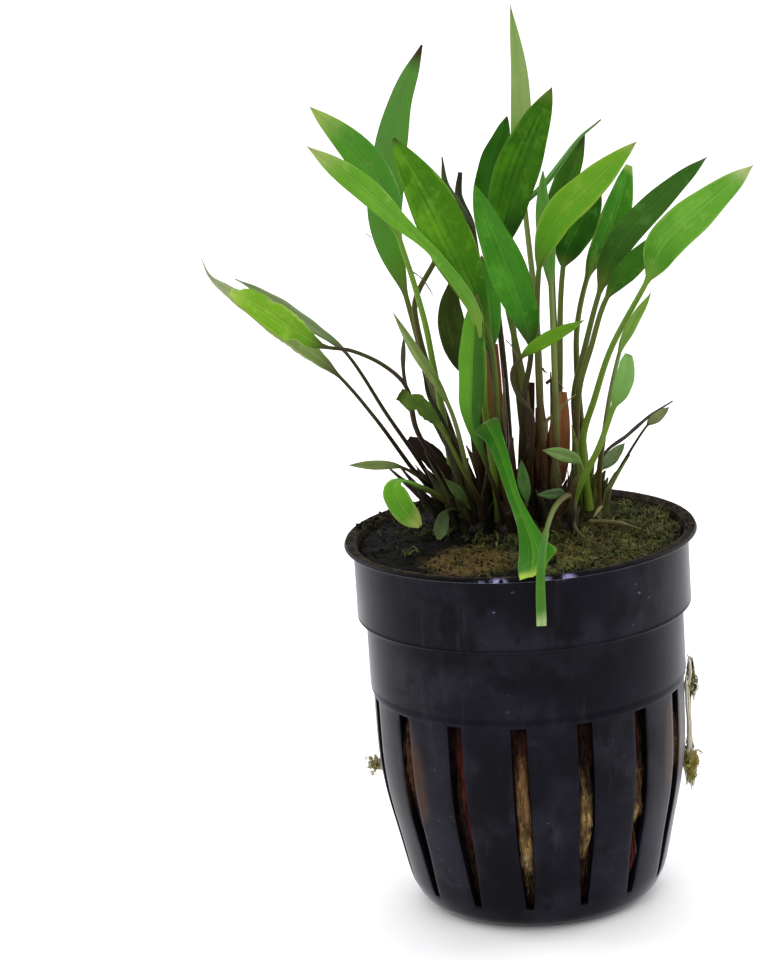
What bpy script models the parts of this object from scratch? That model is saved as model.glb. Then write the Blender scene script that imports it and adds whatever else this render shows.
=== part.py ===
"""A young Cryptocoryne parva, a small aquarium plant, in the black slotted pot that it is sold in.

The Z axis is the pot's axis, the origin is the middle of its underside, and the side that the plant
shows faces -Y. Sizes are in metres: MM turns millimetres into them. A bearing is an angle about the
pot's axis, 0 towards -Y and 90 degrees towards +X.
"""
import math
from collections import namedtuple

import bmesh
import bpy
from mathutils import Matrix, Vector, noise
from mathutils.geometry import interpolate_bezier

MM = 0.001
GAP = 0.3 * MM            # air between two pieces that touch

# Pot: a rolled lip, a collar, and a tapering body with slots
POT_HEIGHT = 59.0 * MM
LIP_RADIUS = 27.5 * MM
LIP_DEPTH = 0.9 * MM      # from the pot's top down to the lip's lower edge
LIP_ROUND = 0.4 * MM
COLLAR_RADIUS = 26.0 * MM
COLLAR_FOOT = 46.8 * MM   # height at which the collar ends and the body begins
BODY_RADIUS = 24.7 * MM
LEDGE_HEIGHT = 34.9 * MM  # the slotted part is set back a little below this
SLOTTED_RADIUS = 24.25 * MM
BASE_CURVE = [(16.2, 0.0), (18.4, 0.8), (20.2, 4.5), (21.8, 12.0), (23.4, 19.0), (24.1, 25.0)]
STEP_SLOPE = 0.4 * MM     # height over which one radius goes over into the next
WALL = 0.8 * MM
POT_SIDES = 42

SLOTS = 15
SLOT_BEARING = math.radians(-4.6)
SLOT_PITCH = math.radians(360 / SLOTS)
# A slot from foot to top: its height, how near the axis the cut comes and its width, in millimetres
SLOT_OUTLINE = [(4.0, 14.0, 1.5), (16.0, 18.0, 2.6), (34.5, 20.0, 2.6)]
DRAIN_INNER = 7.0 * MM    # the slots in the base, between two radii
DRAIN_OUTER = 12.5 * MM
DRAIN_WIDTH = 1.8 * MM
PAST = 2.0 * MM           # how far a cut goes on outside the piece that it cuts

# Growing wool and its mossy top
WOOL_SIDES = 28
WOOL_EDGE_HEIGHT = 57.0 * MM
WOOL_CROWN_HEIGHT = 58.3 * MM
WOOL_LUMP = 0.35 * MM     # height of the lumps on its top, which are LUMP_SIZE across
LUMP_SIZE = 6.0 * MM
TUFT_HALF_WIDTH = 0.75 * MM
TUFT_ROOT = 21.65 * MM    # radius at which a tuft grows out of the wool
TUFTS = [(3, 17, 33.5, 1.9), (4, 14.5, 30, 2.2), (-3, 18, 26, 2.0)]   # slot, low, high and reach in mm

# Crowns, the short stems that are set in the wool
CROWN_TOP = 59.8 * MM
CROWN_FOOT = 54.0 * MM
CROWN_SIDES = 8
CROWN_OUTLINE = [(0.0, 0.0), (1.3, 0.4), (2.2, 3.0), (2.75, 4.9), (2.65, 5.8), (0.0, 5.8)]   # from its foot
POCKET_RADIUS = 2.95 * MM
SEAT_RADIUS = 2.1 * MM    # stalks stand in a ring of eight seats on a crown, seat 0 in its middle
CROWNS = {
    "crown_1": (-10.0, 11.0), "crown_2": (-7.0, 4.0), "crown_3": (-3.0, 12.0), "crown_4": (-1.0, 2.0),
    "crown_5": (4.0, 8.0), "crown_6": (6.0, 1.0), "crown_7": (11.0, 8.0),
}

# Leaves: a stalk that rises from a seat on a crown and a blade that follows it
STALK_FOOT = 1.35 * MM    # thickness of an ordinary stalk at its foot
STALK_NECK = 0.9 * MM     # and where the blade begins
BLADE_THICKNESS = 0.5 * MM
TIP_THICKNESS = 0.25 * MM
STALK_RINGS = 3           # and one more for each point between the seat and the blade
BLADE_RINGS = 7           # and three more for each point past the usual three
LANCE_RISE = 0.75         # a lance-shaped blade is as wide as share ** RISE * (1 - share) ** FALL
LANCE_FALL = 0.9

# One leaf. Points are in millimetres: stalk lists those between the seat and the blade, blade those
# from the neck to the tip. width is the blade's in millimetres, or a tuple of widths at even steps
# along a blade that isn't lance-shaped. turn is how far its face is turned from facing -Y and fold
# is how far each half is folded up, in degrees. stout scales the stalk.
Leaf = namedtuple("Leaf", "name crown seat stalk blade width turn fold stout", defaults=(0.0, 14.0, 1.0))

LEAVES = [
    # Far left, torn and withered
    Leaf("leaf_far_left_torn", 2, 3, [(-14.9, 1, 75.3), (-16.1, 0, 82.5), (-19.2, -2, 86.6),
          (-24, -4, 89.7)],
         [(-28.4, -5, 90.9), (-32.1, -6, 93.5), (-37, -7, 97.7), (-41.3, -8, 100.9)],
         (0.9, 2.8, 4.1, 4.5, 4.2, 3.4, 1.8), 25),
    Leaf("leaf_far_left_withered", 1, 4, [(-16.7, 7.3, 68.6), (-21.6, 4, 77.4)],
         [(-26.9, 1, 85.3), (-33.5, 0, 91.7), (-38, -1, 96.1), (-42.3, -1.5, 99.6),
          (-44.9, -2, 102.1), (-46, -2.4, 105.2)],
         (0.8, 2.2, 2.9, 3.2, 3.4, 3.2, 2.6, 1.6, 0.5, 0.1), 30, 16),
    Leaf("leaf_far_left_edge", 1, 3, [(-14.3, 9.8, 66.9), (-19.6, 8, 76.5)],
         [(-25.4, 7, 87.1), (-30.2, 6.5, 91.5), (-35.8, 6, 96.2), (-41.6, 5, 100.2)], 2.5, 60),
    # Left
    Leaf("leaf_left_broad", 1, 0, [(-12.5, 8.5, 88), (-14, 8.5, 96.1)],
         [(-16.2, 7, 105.3), (-17.6, 5.5, 111.6), (-21.2, 2.5, 118.7), (-28, 0, 126.7)], 5.4, 25),
    Leaf("leaf_left_front", 4, 4, [(-4.3, 0.8, 77.4)],
         [(-4.6, -4, 93.3), (-10.1, -7, 103.9), (-15.8, -9, 110.4), (-20.5, -12.5, 116.1),
          (-28.1, -16, 123.2)],
         (1.9, 2.0, 1.7, 1.6, 2.5, 3.5, 3.7, 2.7, 0), 22, 18),
    Leaf("leaf_left_tall", 1, 1, [(-13.5, 14, 83)],
         [(-16, 15, 95), (-18.4, 16, 105.3), (-17.4, 17, 114.6), (-15.1, 19, 123.6), (-11, 20, 132.6)],
         (1.1, 3.4, 4.9, 5.6, 5.7, 5.3, 4.4, 3.0, 1.6, 0), 18),
    Leaf("leaf_left_narrow", 2, 0, [(-8, 3.5, 70)], [(-10, 3, 79), (-15, 1, 89), (-17.5, 0, 94.5)], 2.0,
         25),
    Leaf("leaf_left_hidden", 1, 8, [(-14.5, 12, 92)],
         [(-10.5, 12, 100.5), (-9, 12, 103.5), (-7, 12, 106.5)], 2.4, 60),
    # Middle
    Leaf("leaf_middle_broad", 4, 3, [(-2.5, 1, 76)],
         [(-3, -0.5, 89.5), (-9.5, -5, 109), (-15.5, -9, 122.5)],
         (1.0, 2.8, 4.6, 6.2, 7.3, 7.5, 7.0, 5.8, 3.6, 0.6), 20),
    Leaf("leaf_middle_front", 4, 1, [(1.7, -1.5, 79.9)],
         [(3.2, -5, 89.2), (0.7, -9, 100.9), (-3.9, -15, 115.8)], 6.4, -22),
    Leaf("leaf_middle_tall", 5, 5, [(2, 5.5, 79.9)],
         [(-0.8, 5, 101.3), (1.4, 4.5, 110.8), (3.5, 4, 116.4), (8.6, 3, 127.1)], 7.2, -22),
    Leaf("leaf_middle_dark", 3, 8, [(-1, 14, 80)], [(-1.9, 15, 100.8), (-1.3, 17, 111.2), (1.6, 19, 120.8)],
         6.2, 24),
    Leaf("leaf_top", 5, 2, [(4.5, 16, 88)],
         [(3.5, 20, 109.7), (3.9, 21.5, 121.3), (3.9, 22.5, 127.4), (3.1, 24, 137.5)],
         (1.6, 2.9, 3.5, 3.4, 3.1, 2.7, 2.1, 1.2, 0), -15),
    Leaf("leaf_middle_low", 4, 2, [(-2, 3, 74)], [(-3, 3, 87), (-3.5, 3, 94), (-3.5, 3, 102)], 5.0, 15),
    Leaf("leaf_middle_upright", 4, 5, [],
         [(-4.9, -1.5, 70.4), (-6.8, -2, 77.4), (-6.6, -3, 83.1), (-6, -4.5, 89.6)], 2.1, -30),
    Leaf("leaf_dark_edge", 3, 0, [(-3.5, 12.5, 84)],
         [(-4.7, 13, 103.9), (-7.2, 14, 108.6), (-8.6, 14.5, 111.4), (-8.8, 15, 115.6)], 2.2, 60),
    Leaf("leaf_dark_stub", 3, 2, [(-3.5, 15, 84)],
         [(-4.7, 16, 104), (-6.3, 17, 107.9), (-6.7, 17.5, 109.4), (-6.2, 18, 112.6)], (0.9, 1.5, 1.6, 1.0),
         50),
    Leaf("leaf_brown", 3, 5, [(-6, 10, 72)], [(-7.5, 9, 82.5), (-9, 9, 91), (-8.5, 9, 97.5)], 4.8, 26),
    # Right
    Leaf("leaf_thin_edge", 5, 4, [(0.9, 8, 82)],
         [(1, 8, 104.4), (2.8, 8.5, 108), (6.8, 9, 111.6), (12.3, 10, 117.9), (16, 10.5, 120.6)], 2.3, 60),
    Leaf("leaf_right_dark", 5, 1, [(7, 13, 80)], [(7.7, 17, 101), (10.1, 20, 109.3), (13.7, 23, 116.7)],
         4.4, -28),
    Leaf("leaf_right_bright", 6, 3, [(4.1, -1, 80)],
         [(5.1, -4, 100.8), (8, -6, 108.2), (13.1, -9, 113.5), (20.3, -12, 120.3)], 5.3, -22),
    Leaf("leaf_right_back", 7, 2, [(10.5, 16, 84.5)], [(13, 19, 95), (17.5, 22, 103), (20.5, 25, 111)],
         (1.1, 2.8, 4.0, 4.8, 5.1, 4.9, 4.2, 3.0, 1.2), 20),
    Leaf("leaf_right_shaded", 5, 8, [(7.5, 10, 80)], [(9, 11, 98), (11.5, 12, 103.5), (15.5, 13, 109.5)],
         5.8, -24),
    Leaf("leaf_right_small", 6, 2, [(6.6, 1.5, 79.9)],
         [(6.8, 0, 97.3), (6.5, -0.5, 103.6), (6.2, -1, 109.9), (6.5, -1.5, 115.3)], 2.7, 10),
    Leaf("leaf_right_long", 7, 3, [(9.7, 10, 70.4), (9.7, 11, 77.6), (11.4, 12, 83.6)],
         [(14.8, 15, 93.6), (17.7, 17, 99.3), (24.1, 20, 105.4), (32.7, 23, 111.9)],
         (1.2, 3.6, 4.2, 4.3, 4.2, 4.0, 3.2, 2.0, 0), -24),
    Leaf("leaf_far_right", 7, 6, [(10.6, 6, 71.3), (12.6, 5, 77.8), (15.6, 3.5, 86.2)],
         [(21.7, 0, 97.5), (24.3, -2, 103), (30.4, -5, 108.9), (37.7, -8, 115.2)],
         (1.2, 4.6, 5.8, 6.0, 5.8, 5.0, 3.9, 2.4, 0), -20),
    Leaf("leaf_right_under", 7, 4, [(9.6, 8.3, 72.4), (10.6, 9, 79.4), (12.5, 10, 84.7)],
         [(15.6, 11, 92.8), (20.5, 12, 98), (25.4, 12.5, 102.5)], 3.6, -22),
    Leaf("leaf_right_narrow", 7, 7, [(14.2, 2.8, 74.9)], [(16.8, 1, 86.1), (19, 0, 90.8), (21.9, -1, 95.4)],
         2.1, 30),
    Leaf("leaf_right_pale", 6, 8, [(13.1, 0, 72)], [(15.5, -1, 78.2), (17.2, -3.5, 82.6), (18, -5, 86.9)],
         (1.0, 2.2, 2.9, 3.1, 3.0, 2.6, 1.2), -25),
    # Low on the right
    Leaf("leaf_low_right_dark", 7, 1, [],
         [(13.7, 13, 66.7), (18, 16, 69.5), (21.6, 18, 71.8), (25.5, 20, 73.5)], 1.2, 50),
    Leaf("leaf_low_right_thin", 7, 8, [(14.3, 9, 62.6), (17.6, 9, 67.9)],
         [(20.8, 9, 72.4), (22.7, 9, 73.9), (24.3, 9, 75.1)], 1.9, 20, stout=0.6),
    Leaf("leaf_low_right_pale", 7, 0, [], [(13, 8, 65.9), (15, 9, 67.6), (17.2, 10, 69.5)], 2.4, 20),
    Leaf("leaf_bright_across", 4, 8, [(2.9, -2.6, 77.4), (0.9, -4, 81.2), (0.1, -5, 84.9)],
         [(1.8, -7, 87.9), (6.1, -11, 91.5), (11.2, -15, 94.6)], 2.4, 10),
    Leaf("leaf_small_pale", 6, 1, [(9.9, 2, 65.9)], [(10, 2, 68.5), (7.1, 0, 70.7), (4.2, -2, 72)], 2.1,
         10),
    Leaf("leaf_small_upright", 4, 7, [], [(1.3, -3, 64.2), (0.9, -3.5, 68.2), (0.8, -4, 71.1)], 1.9, 10),
    Leaf("leaf_small_across", 6, 5, [], [(7, -1, 64.5), (5, -3, 65.2), (3, -4, 65.5)], 1.6, 10, stout=0.6),
    # Low on the left
    Leaf("leaf_low_left_curled", 2, 4, [(-11.1, 3, 63.7)],
         [(-14.3, 2.5, 67.2), (-17.6, 2, 68.3), (-19.6, 0.5, 66.6), (-18.6, -1, 64), (-15, -3, 61.1)],
         (1.0, 2.2, 3.0, 3.3, 3.3, 3.0, 2.2, 0.9), 0, 20),
    Leaf("leaf_low_left_across", 1, 5, [(-13.7, 6.6, 65.2)],
         [(-17.9, 5.6, 68.7), (-22.4, 5.6, 69.3), (-26.1, 5.6, 69.5)], 1.5, 20),
    Leaf("leaf_low_left_torn", 2, 7, [(-8.7, 0, 70.1)],
         [(-11.4, -2, 76.6), (-14, -3, 80.1), (-17.2, -4, 82.6)], (0.8, 1.9, 2.8, 2.9, 1.9), 10),
    Leaf("leaf_low_left_soil", 2, 5, [(-10, 1.2, 62.5)],
         [(-11.2, 0.3, 62.7), (-12.2, -0.6, 61.5), (-12.8, -1.8, 59.4)], 1.3, 10, stout=0.6),
    Leaf("leaf_low_left_dead", 1, 2, [],
         [(-10.8, 12, 64.3), (-12.9, 13, 67.9), (-15.1, 14, 69.8), (-16.9, 15, 70.9)], 2.0, 20),
    Leaf("leaf_low_left_dull", 2, 6, [], [(-8, 0.5, 63.5), (-9.5, -0.5, 66), (-11, -1, 68)], 1.8, 20),
    Leaf("leaf_left_dark", 2, 1, [(-8.1, 5.2, 70)],
         [(-10.4, 5, 74.7), (-12.8, 4.5, 79.8), (-13.6, 4, 84.2)], 1.1, 50),
    # Bent over the rim at the front
    Leaf("leaf_bent_over_rim", 4, 6, [(-2.5, -1, 69.6)],
         [(-3.6, -2, 74.7), (-4.1, -3.5, 77), (-3.8, -5.5, 76.8), (-2.5, -9, 74.1), (-0.6, -15, 68.2),
          (1.7, -22.5, 62.6), (1.4, -29.3, 59.7)],
         (1.5, 4.0, 3.3, 2.5, 2.0, 2.0, 2.6, 4.4, 6.2, 4.8), 0, 8),
    # Bare stalks and old sheaths
    Leaf("stalk_over_rim", 6, 6, [(7.8, -3, 64.6), (5.6, -12, 65.6)],
         [(3.8, -23, 64.4), (2.7, -30.3, 60.5), (2.4, -30.3, 52.3)], (1.0, 1.2, 1.4, 1.5), 0, 4),
    Leaf("stalk_left", 2, 2, [(-10, 6.5, 66.9), (-14.9, 7, 73.2), (-16.2, 7, 79.9)],
         [(-16.7, 7, 83.9), (-16.3, 7, 89.1)], 0.8, 0, 0, stout=0.8),
    Leaf("sheath_red", 3, 6, [], [(-3, 9, 68), (-3, 8, 74.1), (-2.7, 8, 87)], (1.8, 2.8, 2.6, 1.8), 0, 10,
         stout=1.1),
    Leaf("sheath_brown", 5, 7, [], [(6.5, 6.5, 65), (7, 6.5, 71.4), (7.6, 6.5, 79.1)], (2.0, 3.2, 3.0, 1.8),
         0, 10, stout=1.1),
    Leaf("sheath_dark", 5, 3, [], [(2.5, 10, 65), (2, 10.5, 70), (3, 10.5, 80)], (1.6, 2.0, 1.8, 1.2), 0,
         10, stout=1.1),
]

# What is left of old stalks on each crown: the seat, how far its end leans in X and Y, and its height,
# in millimetres
OLD_SHEATHS = {
    "crown_1": [(6, 0, -1.5, 6), (7, 1, -1.5, 9)],
    "crown_2": [(8, 1, 0.5, 12)],
    "crown_3": [(3, -1, 2.5, 15), (4, -2.5, 0, 10), (7, 0.5, -1.5, 17)],
    "crown_4": [(0, 0.5, -0.5, 14)],
    "crown_5": [(0, 0.5, 0.5, 19), (6, 0, -1.5, 12)],
    "crown_6": [(0, 0, 0, 11), (4, -1, 0, 5), (7, 2, -2, 8)],
    "crown_7": [(5, -0.5, -1.5, 14)],
}
SHEATH_WIDTH = 1.7 * MM
SHEATH_THICKNESS = 1.0 * MM
SHEATH_ROOT = 1.0 * MM    # how deep a sheath's foot is in its crown
SHEATH_TAPER = [(0.0, 0.55), (0.5, 1.0), (1.0, 0.45)]   # share of the height, share of the width


def remove_everything():
    for thing in list(bpy.data.objects):
        bpy.data.objects.remove(thing)


def material(name, colour, roughness, metallic=0.0):
    made = bpy.data.materials.new(name)
    made.use_nodes = True
    shader = made.node_tree.nodes["Principled BSDF"]
    shader.inputs["Base Color"].default_value = (*colour, 1.0)
    shader.inputs["Roughness"].default_value = roughness
    shader.inputs["Metallic"].default_value = metallic
    return made


def add_object(name, shape, look=None):
    """Put a bmesh in the scene as an object, with its faces turned outwards."""
    bmesh.ops.recalc_face_normals(shape, faces=shape.faces)
    mesh = bpy.data.meshes.new(name)
    shape.to_mesh(mesh)
    shape.free()
    thing = bpy.data.objects.new(name, mesh)
    bpy.context.collection.objects.link(thing)
    if look:
        mesh.materials.append(look)
    mesh.shade_smooth()
    mesh.set_sharp_from_angle(angle=math.radians(35))
    return thing


def turned(profile, sides):
    """A closed solid turned about Z from a profile that starts and ends on the axis."""
    shape = bmesh.new()
    points = [shape.verts.new((radius, 0.0, height)) for radius, height in profile]
    edges = [shape.edges.new(pair) for pair in zip(points, points[1:])]
    bmesh.ops.spin(shape, geom=points + edges, cent=(0, 0, 0), axis=(0, 0, 1), angle=2 * math.pi,
                   steps=sides, use_merge=True, use_duplicate=False)
    bmesh.ops.remove_doubles(shape, verts=shape.verts, dist=0.01 * MM)
    return shape


def add_wedge(shape, near, far, low_half, high_half):
    """Add a six-sided solid: near and far are (radius, height) pairs low to high, on a bearing of 0."""
    corners = []
    for (radius, height), half in zip(near + far, (low_half, high_half) * 2):
        corners.append(shape.verts.new((-half, -radius, height)))
        corners.append(shape.verts.new((half, -radius, height)))
    for face in ((0, 1, 3, 2), (4, 6, 7, 5), (0, 4, 5, 1), (2, 3, 7, 6), (0, 2, 6, 4), (1, 5, 7, 3)):
        shape.faces.new([corners[index] for index in face])
    return corners


def cut_away(thing, cutter, operation="DIFFERENCE"):
    """Cut a solid with a hidden one, or join the two."""
    cutter.hide_render = True
    cutter.display_type = "WIRE"
    cut = thing.modifiers.new(cutter.name, "BOOLEAN")
    cut.object = cutter
    cut.operation = operation
    cut.solver = "EXACT"


def pot_profile():
    """The wall's outline, from the middle of the underside up the outside and down the inside."""
    base = [(radius * MM, height * MM) for radius, height in BASE_CURVE]
    half_step = STEP_SLOPE / 2
    outside = [(SLOTTED_RADIUS, LEDGE_HEIGHT - half_step), (BODY_RADIUS, LEDGE_HEIGHT + half_step),
               (BODY_RADIUS, COLLAR_FOOT - STEP_SLOPE), (COLLAR_RADIUS, COLLAR_FOOT)]
    lip = [(COLLAR_RADIUS, POT_HEIGHT - LIP_DEPTH - LIP_ROUND), (LIP_RADIUS, POT_HEIGHT - LIP_DEPTH),
           (LIP_RADIUS, POT_HEIGHT - LIP_ROUND), (LIP_RADIUS - LIP_ROUND, POT_HEIGHT),
           (COLLAR_RADIUS - LIP_ROUND / 2, POT_HEIGHT)]
    inside = [(COLLAR_RADIUS - WALL, POT_HEIGHT - WALL), (COLLAR_RADIUS - WALL, COLLAR_FOOT + STEP_SLOPE),
              (BODY_RADIUS - WALL, COLLAR_FOOT - WALL), (SLOTTED_RADIUS - WALL, LEDGE_HEIGHT - WALL)]
    inside += [(radius - WALL, max(height, WALL)) for radius, height in reversed(base)]
    return [(0, 0)] + base + outside + lip + inside + [(0, WALL)]


def slot_bearing(index):
    return SLOT_BEARING + index * SLOT_PITCH


def add_slot(shape):
    """Add the cutter of one slot, and of the drain slot below it in the base, on a bearing of 0."""
    corners = []
    outside = LIP_RADIUS + PAST
    for (low, low_radius, low_width), (high, high_radius, high_width) in zip(SLOT_OUTLINE, SLOT_OUTLINE[1:]):
        corners += add_wedge(shape, [(low_radius * MM, low * MM), (high_radius * MM, high * MM)],
                             [(outside, low * MM), (outside, high * MM)],
                             low_width * MM / 2, high_width * MM / 2)
    return corners + add_wedge(shape, [(DRAIN_INNER, -PAST), (DRAIN_INNER, PAST)],
                               [(DRAIN_OUTER, -PAST), (DRAIN_OUTER, PAST)],
                               DRAIN_WIDTH / 2, DRAIN_WIDTH / 2)


def make_pot():
    plastic = material("black_plastic", (0.02, 0.02, 0.025), 0.45)
    pot = add_object("pot", turned(pot_profile(), POT_SIDES), plastic)
    slots = bmesh.new()
    for index in range(SLOTS):
        corners = add_slot(slots)
        bmesh.ops.transform(slots, matrix=Matrix.Rotation(slot_bearing(index), 4, "Z"), verts=corners)
    cut_away(pot, add_object("pot_slots", slots))


def wool_height(x, y):
    """The height of the mossy top, a low dome with lumps."""
    dome = 1 - (x * x + y * y) / (COLLAR_RADIUS * COLLAR_RADIUS)
    lump = noise.noise(Vector((x, y, 0)) / LUMP_SIZE)
    return WOOL_EDGE_HEIGHT + (WOOL_CROWN_HEIGHT - WOOL_EDGE_HEIGHT) * dome + WOOL_LUMP * lump


def add_tuft(shape, bearing, low, high, reach):
    """A wisp of wool that stands out through a slot, fullest at its middle."""
    middle = (low + high) / 2
    full, lean = SLOTTED_RADIUS + reach, SLOTTED_RADIUS + 0.4 * reach
    corners = add_wedge(shape, [(TUFT_ROOT, low), (TUFT_ROOT, middle)], [(lean, low), (full, middle)],
                        0.6 * TUFT_HALF_WIDTH, TUFT_HALF_WIDTH)
    corners += add_wedge(shape, [(TUFT_ROOT, middle), (TUFT_ROOT, high)], [(full, middle), (lean, high)],
                         TUFT_HALF_WIDTH, 0.8 * TUFT_HALF_WIDTH)
    bmesh.ops.transform(shape, matrix=Matrix.Rotation(bearing, 4, "Z"), verts=corners)


def wool_profile():
    """The wool's outline, a gap inside the pot's wall, with a flat top that is then made lumpy."""
    inset = WALL + GAP
    base = [(radius - inset / MM, max(height, inset / MM)) for radius, height in BASE_CURVE]
    profile = [(0.0, inset)] + [(radius * MM, height * MM) for radius, height in base]
    edge = COLLAR_RADIUS - inset - GAP / 2
    profile += [(SLOTTED_RADIUS - inset, LEDGE_HEIGHT - WALL),
                (BODY_RADIUS - inset, COLLAR_FOOT - WALL - GAP),
                (edge, COLLAR_FOOT + WALL), (edge, WOOL_EDGE_HEIGHT)]
    return profile + [(share * edge, WOOL_CROWN_HEIGHT) for share in (0.8, 0.5, 0)]


def make_wool():
    """The wool fills the pot, with a pocket for each crown and tufts through some of the slots."""
    shape = turned(wool_profile(), WOOL_SIDES)
    for corner in shape.verts:
        if corner.co.z > WOOL_EDGE_HEIGHT - GAP:
            corner.co.z = wool_height(corner.co.x, corner.co.y)
    wool = add_object("growing_wool", shape, material("wool_and_moss", (0.11, 0.09, 0.04), 0.95))
    pockets = bmesh.new()
    depth = CROWN_TOP - CROWN_FOOT + GAP
    for x, y in CROWNS.values():
        place = Matrix.Translation((x * MM, y * MM, CROWN_TOP))
        bmesh.ops.create_cone(pockets, cap_ends=True, segments=CROWN_SIDES, radius1=POCKET_RADIUS,
                              radius2=POCKET_RADIUS, depth=2 * depth, matrix=place)
    cut_away(wool, add_object("crown_pockets", pockets))
    tufts = bmesh.new()
    for slot, low, high, reach in TUFTS:
        add_tuft(tufts, slot_bearing(slot), low * MM, high * MM, reach * MM)
    cut_away(wool, add_object("wool_tufts", tufts), "UNION")


def seat_place(x, y, seat):
    """Where a seat is on the crown at x, y, all in metres."""
    bearing = math.radians(45 * seat)
    reach = SEAT_RADIUS if seat else 0.0
    return x + reach * math.cos(bearing), y + reach * math.sin(bearing)


def add_sheath(shape, seat, lean_x, lean_y, height):
    """The torn-off foot of an old stalk: a flat strap that rises from a seat and narrows."""
    x, y = seat_place(0.0, 0.0, seat)
    outward = math.radians(45 * seat)
    side = Vector((-math.sin(outward), math.cos(outward), 0))
    face = side.cross(Vector((0, 0, 1)))
    foot = Vector((x, y, CROWN_TOP - SHEATH_ROOT))
    loops = []
    for share, width in SHEATH_TAPER:
        lean = Vector((lean_x, lean_y, 0)) * MM * share ** 2
        place = foot + lean + Vector((0, 0, (height * MM + SHEATH_ROOT) * share))
        out, deep = side * SHEATH_WIDTH / 2 * width, face * SHEATH_THICKNESS / 2 * width
        loops.append([shape.verts.new(place + step) for step in (-out, deep, out, -deep)])
    for loop, following in zip(loops, loops[1:]):
        for index in range(4):
            after = (index + 1) % 4
            shape.faces.new((loop[index], loop[after], following[after], following[index]))
    shape.faces.new(reversed(loops[0]))
    shape.faces.new(loops[-1])


def make_crowns():
    """Each crown is a short stem with the feet of its old stalks grown to it."""
    profile = [(radius * MM, CROWN_FOOT + height * MM) for radius, height in CROWN_OUTLINE]
    look = material("crown_brown", (0.05, 0.03, 0.015), 0.8)
    for name, (x, y) in CROWNS.items():
        place = Vector((x, y, 0)) * MM
        crown = add_object(name, turned(profile, CROWN_SIDES), look)
        crown.location = place
        sheaths = bmesh.new()
        for sheath in OLD_SHEATHS[name]:
            add_sheath(sheaths, *sheath)
        old = add_object(name + "_old_sheaths", sheaths)
        old.location = place
        cut_away(crown, old, "UNION")


def curve_through(points, start_way, steps=12):
    """A smooth line through the points, closely stepped, with the place of each point along it."""
    ways = [start_way] + [(after - before).normalized() for before, after in zip(points, points[2:])]
    ways.append((points[-1] - points[-2]).normalized())
    line, marks = [points[0].copy()], [0]
    for start, end, way_out, way_in in zip(points, points[1:], ways, ways[1:]):
        reach = (end - start).length / 3
        line += interpolate_bezier(start, start + way_out * reach, end - way_in * reach, end, steps + 1)[1:]
        marks.append(len(line) - 1)
    return line, marks


def stations(line, first, last, shares):
    """Points and directions at shares of the way from one place on the line to another."""
    lengths = [0.0]
    for a, b in zip(line[first:last], line[first + 1:last + 1]):
        lengths.append(lengths[-1] + (b - a).length)
    found = []
    for share in shares:
        reach = share * lengths[-1]
        step = next((i for i in range(1, len(lengths)) if lengths[i] >= reach - 1e-9), len(lengths) - 1)
        part = (reach - lengths[step - 1]) / (lengths[step] - lengths[step - 1])
        a, b = line[first + step - 1], line[first + step]
        found.append((a.lerp(b, part), (b - a).normalized()))
    return found


def lance(share):
    """The outline of a lance-shaped blade: 0 at both ends and 1 where it is widest."""
    widest = LANCE_RISE / (LANCE_RISE + LANCE_FALL)
    peak = widest ** LANCE_RISE * (1 - widest) ** LANCE_FALL
    return share ** LANCE_RISE * (1 - share) ** LANCE_FALL / peak


def half_width(leaf, share, neck):
    """Half the blade's width at a share of its length."""
    if isinstance(leaf.width, tuple):
        along = share * (len(leaf.width) - 1)
        step = min(int(along), len(leaf.width) - 2)
        low, high = leaf.width[step:step + 2]
        return (low + (high - low) * (along - step)) * MM / 2
    return max(neck * (1 - share), leaf.width * MM / 2 * lance(share))


def leaf_rings(leaf):
    """Rings along a leaf: place, direction, half width, thickness and how much of the fold applies."""
    x, y = CROWNS[f"crown_{leaf.crown}"]
    foot = Vector((*seat_place(x * MM, y * MM, leaf.seat), CROWN_TOP + GAP))
    points = [foot] + [Vector(point) * MM for point in leaf.stalk + leaf.blade]
    line, marks = curve_through(points, Vector((0, 0, 1)))
    neck = marks[1 + len(leaf.stalk)]
    thick_foot, thick_neck = STALK_FOOT * leaf.stout, STALK_NECK * leaf.stout
    rings = []
    count = STALK_RINGS + len(leaf.stalk)
    for index, (place, way) in enumerate(stations(line, 0, neck, [i / count for i in range(count)])):
        thick = thick_foot + (thick_neck - thick_foot) * index / count
        rings.append((place, way, thick / 2, thick, 0.0))
    count = BLADE_RINGS + 3 * (len(leaf.blade) - 3)
    shares = [i / count for i in range(count + 1)]
    for share, (place, way) in zip(shares, stations(line, neck, len(line) - 1, shares)):
        opened = min(1.0, 3 * share)
        thick = BLADE_THICKNESS + (TIP_THICKNESS - BLADE_THICKNESS) * share
        thick += (thick_neck - thick) * (1 - opened)
        rings.append((place, way, half_width(leaf, share, thick_neck / 2), thick, opened))
    return rings


def facing(rings, turn):
    """The direction that the upper face looks at each ring, carried along without twisting."""
    middle = len(rings) * 2 // 3
    way = rings[middle][1]
    front = Vector((0, -1, 0))
    front = (front - front.dot(way) * way).normalized()
    front.rotate(Matrix.Rotation(math.radians(turn), 3, way))
    faces = {middle: front}
    for order in (range(middle + 1, len(rings)), range(middle - 1, -1, -1)):
        carried, last = front.copy(), way
        for index in order:
            carried.rotate(last.rotation_difference(rings[index][1]))
            last = rings[index][1]
            faces[index] = carried.copy()
    return [faces[index] for index in range(len(rings))]


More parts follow.
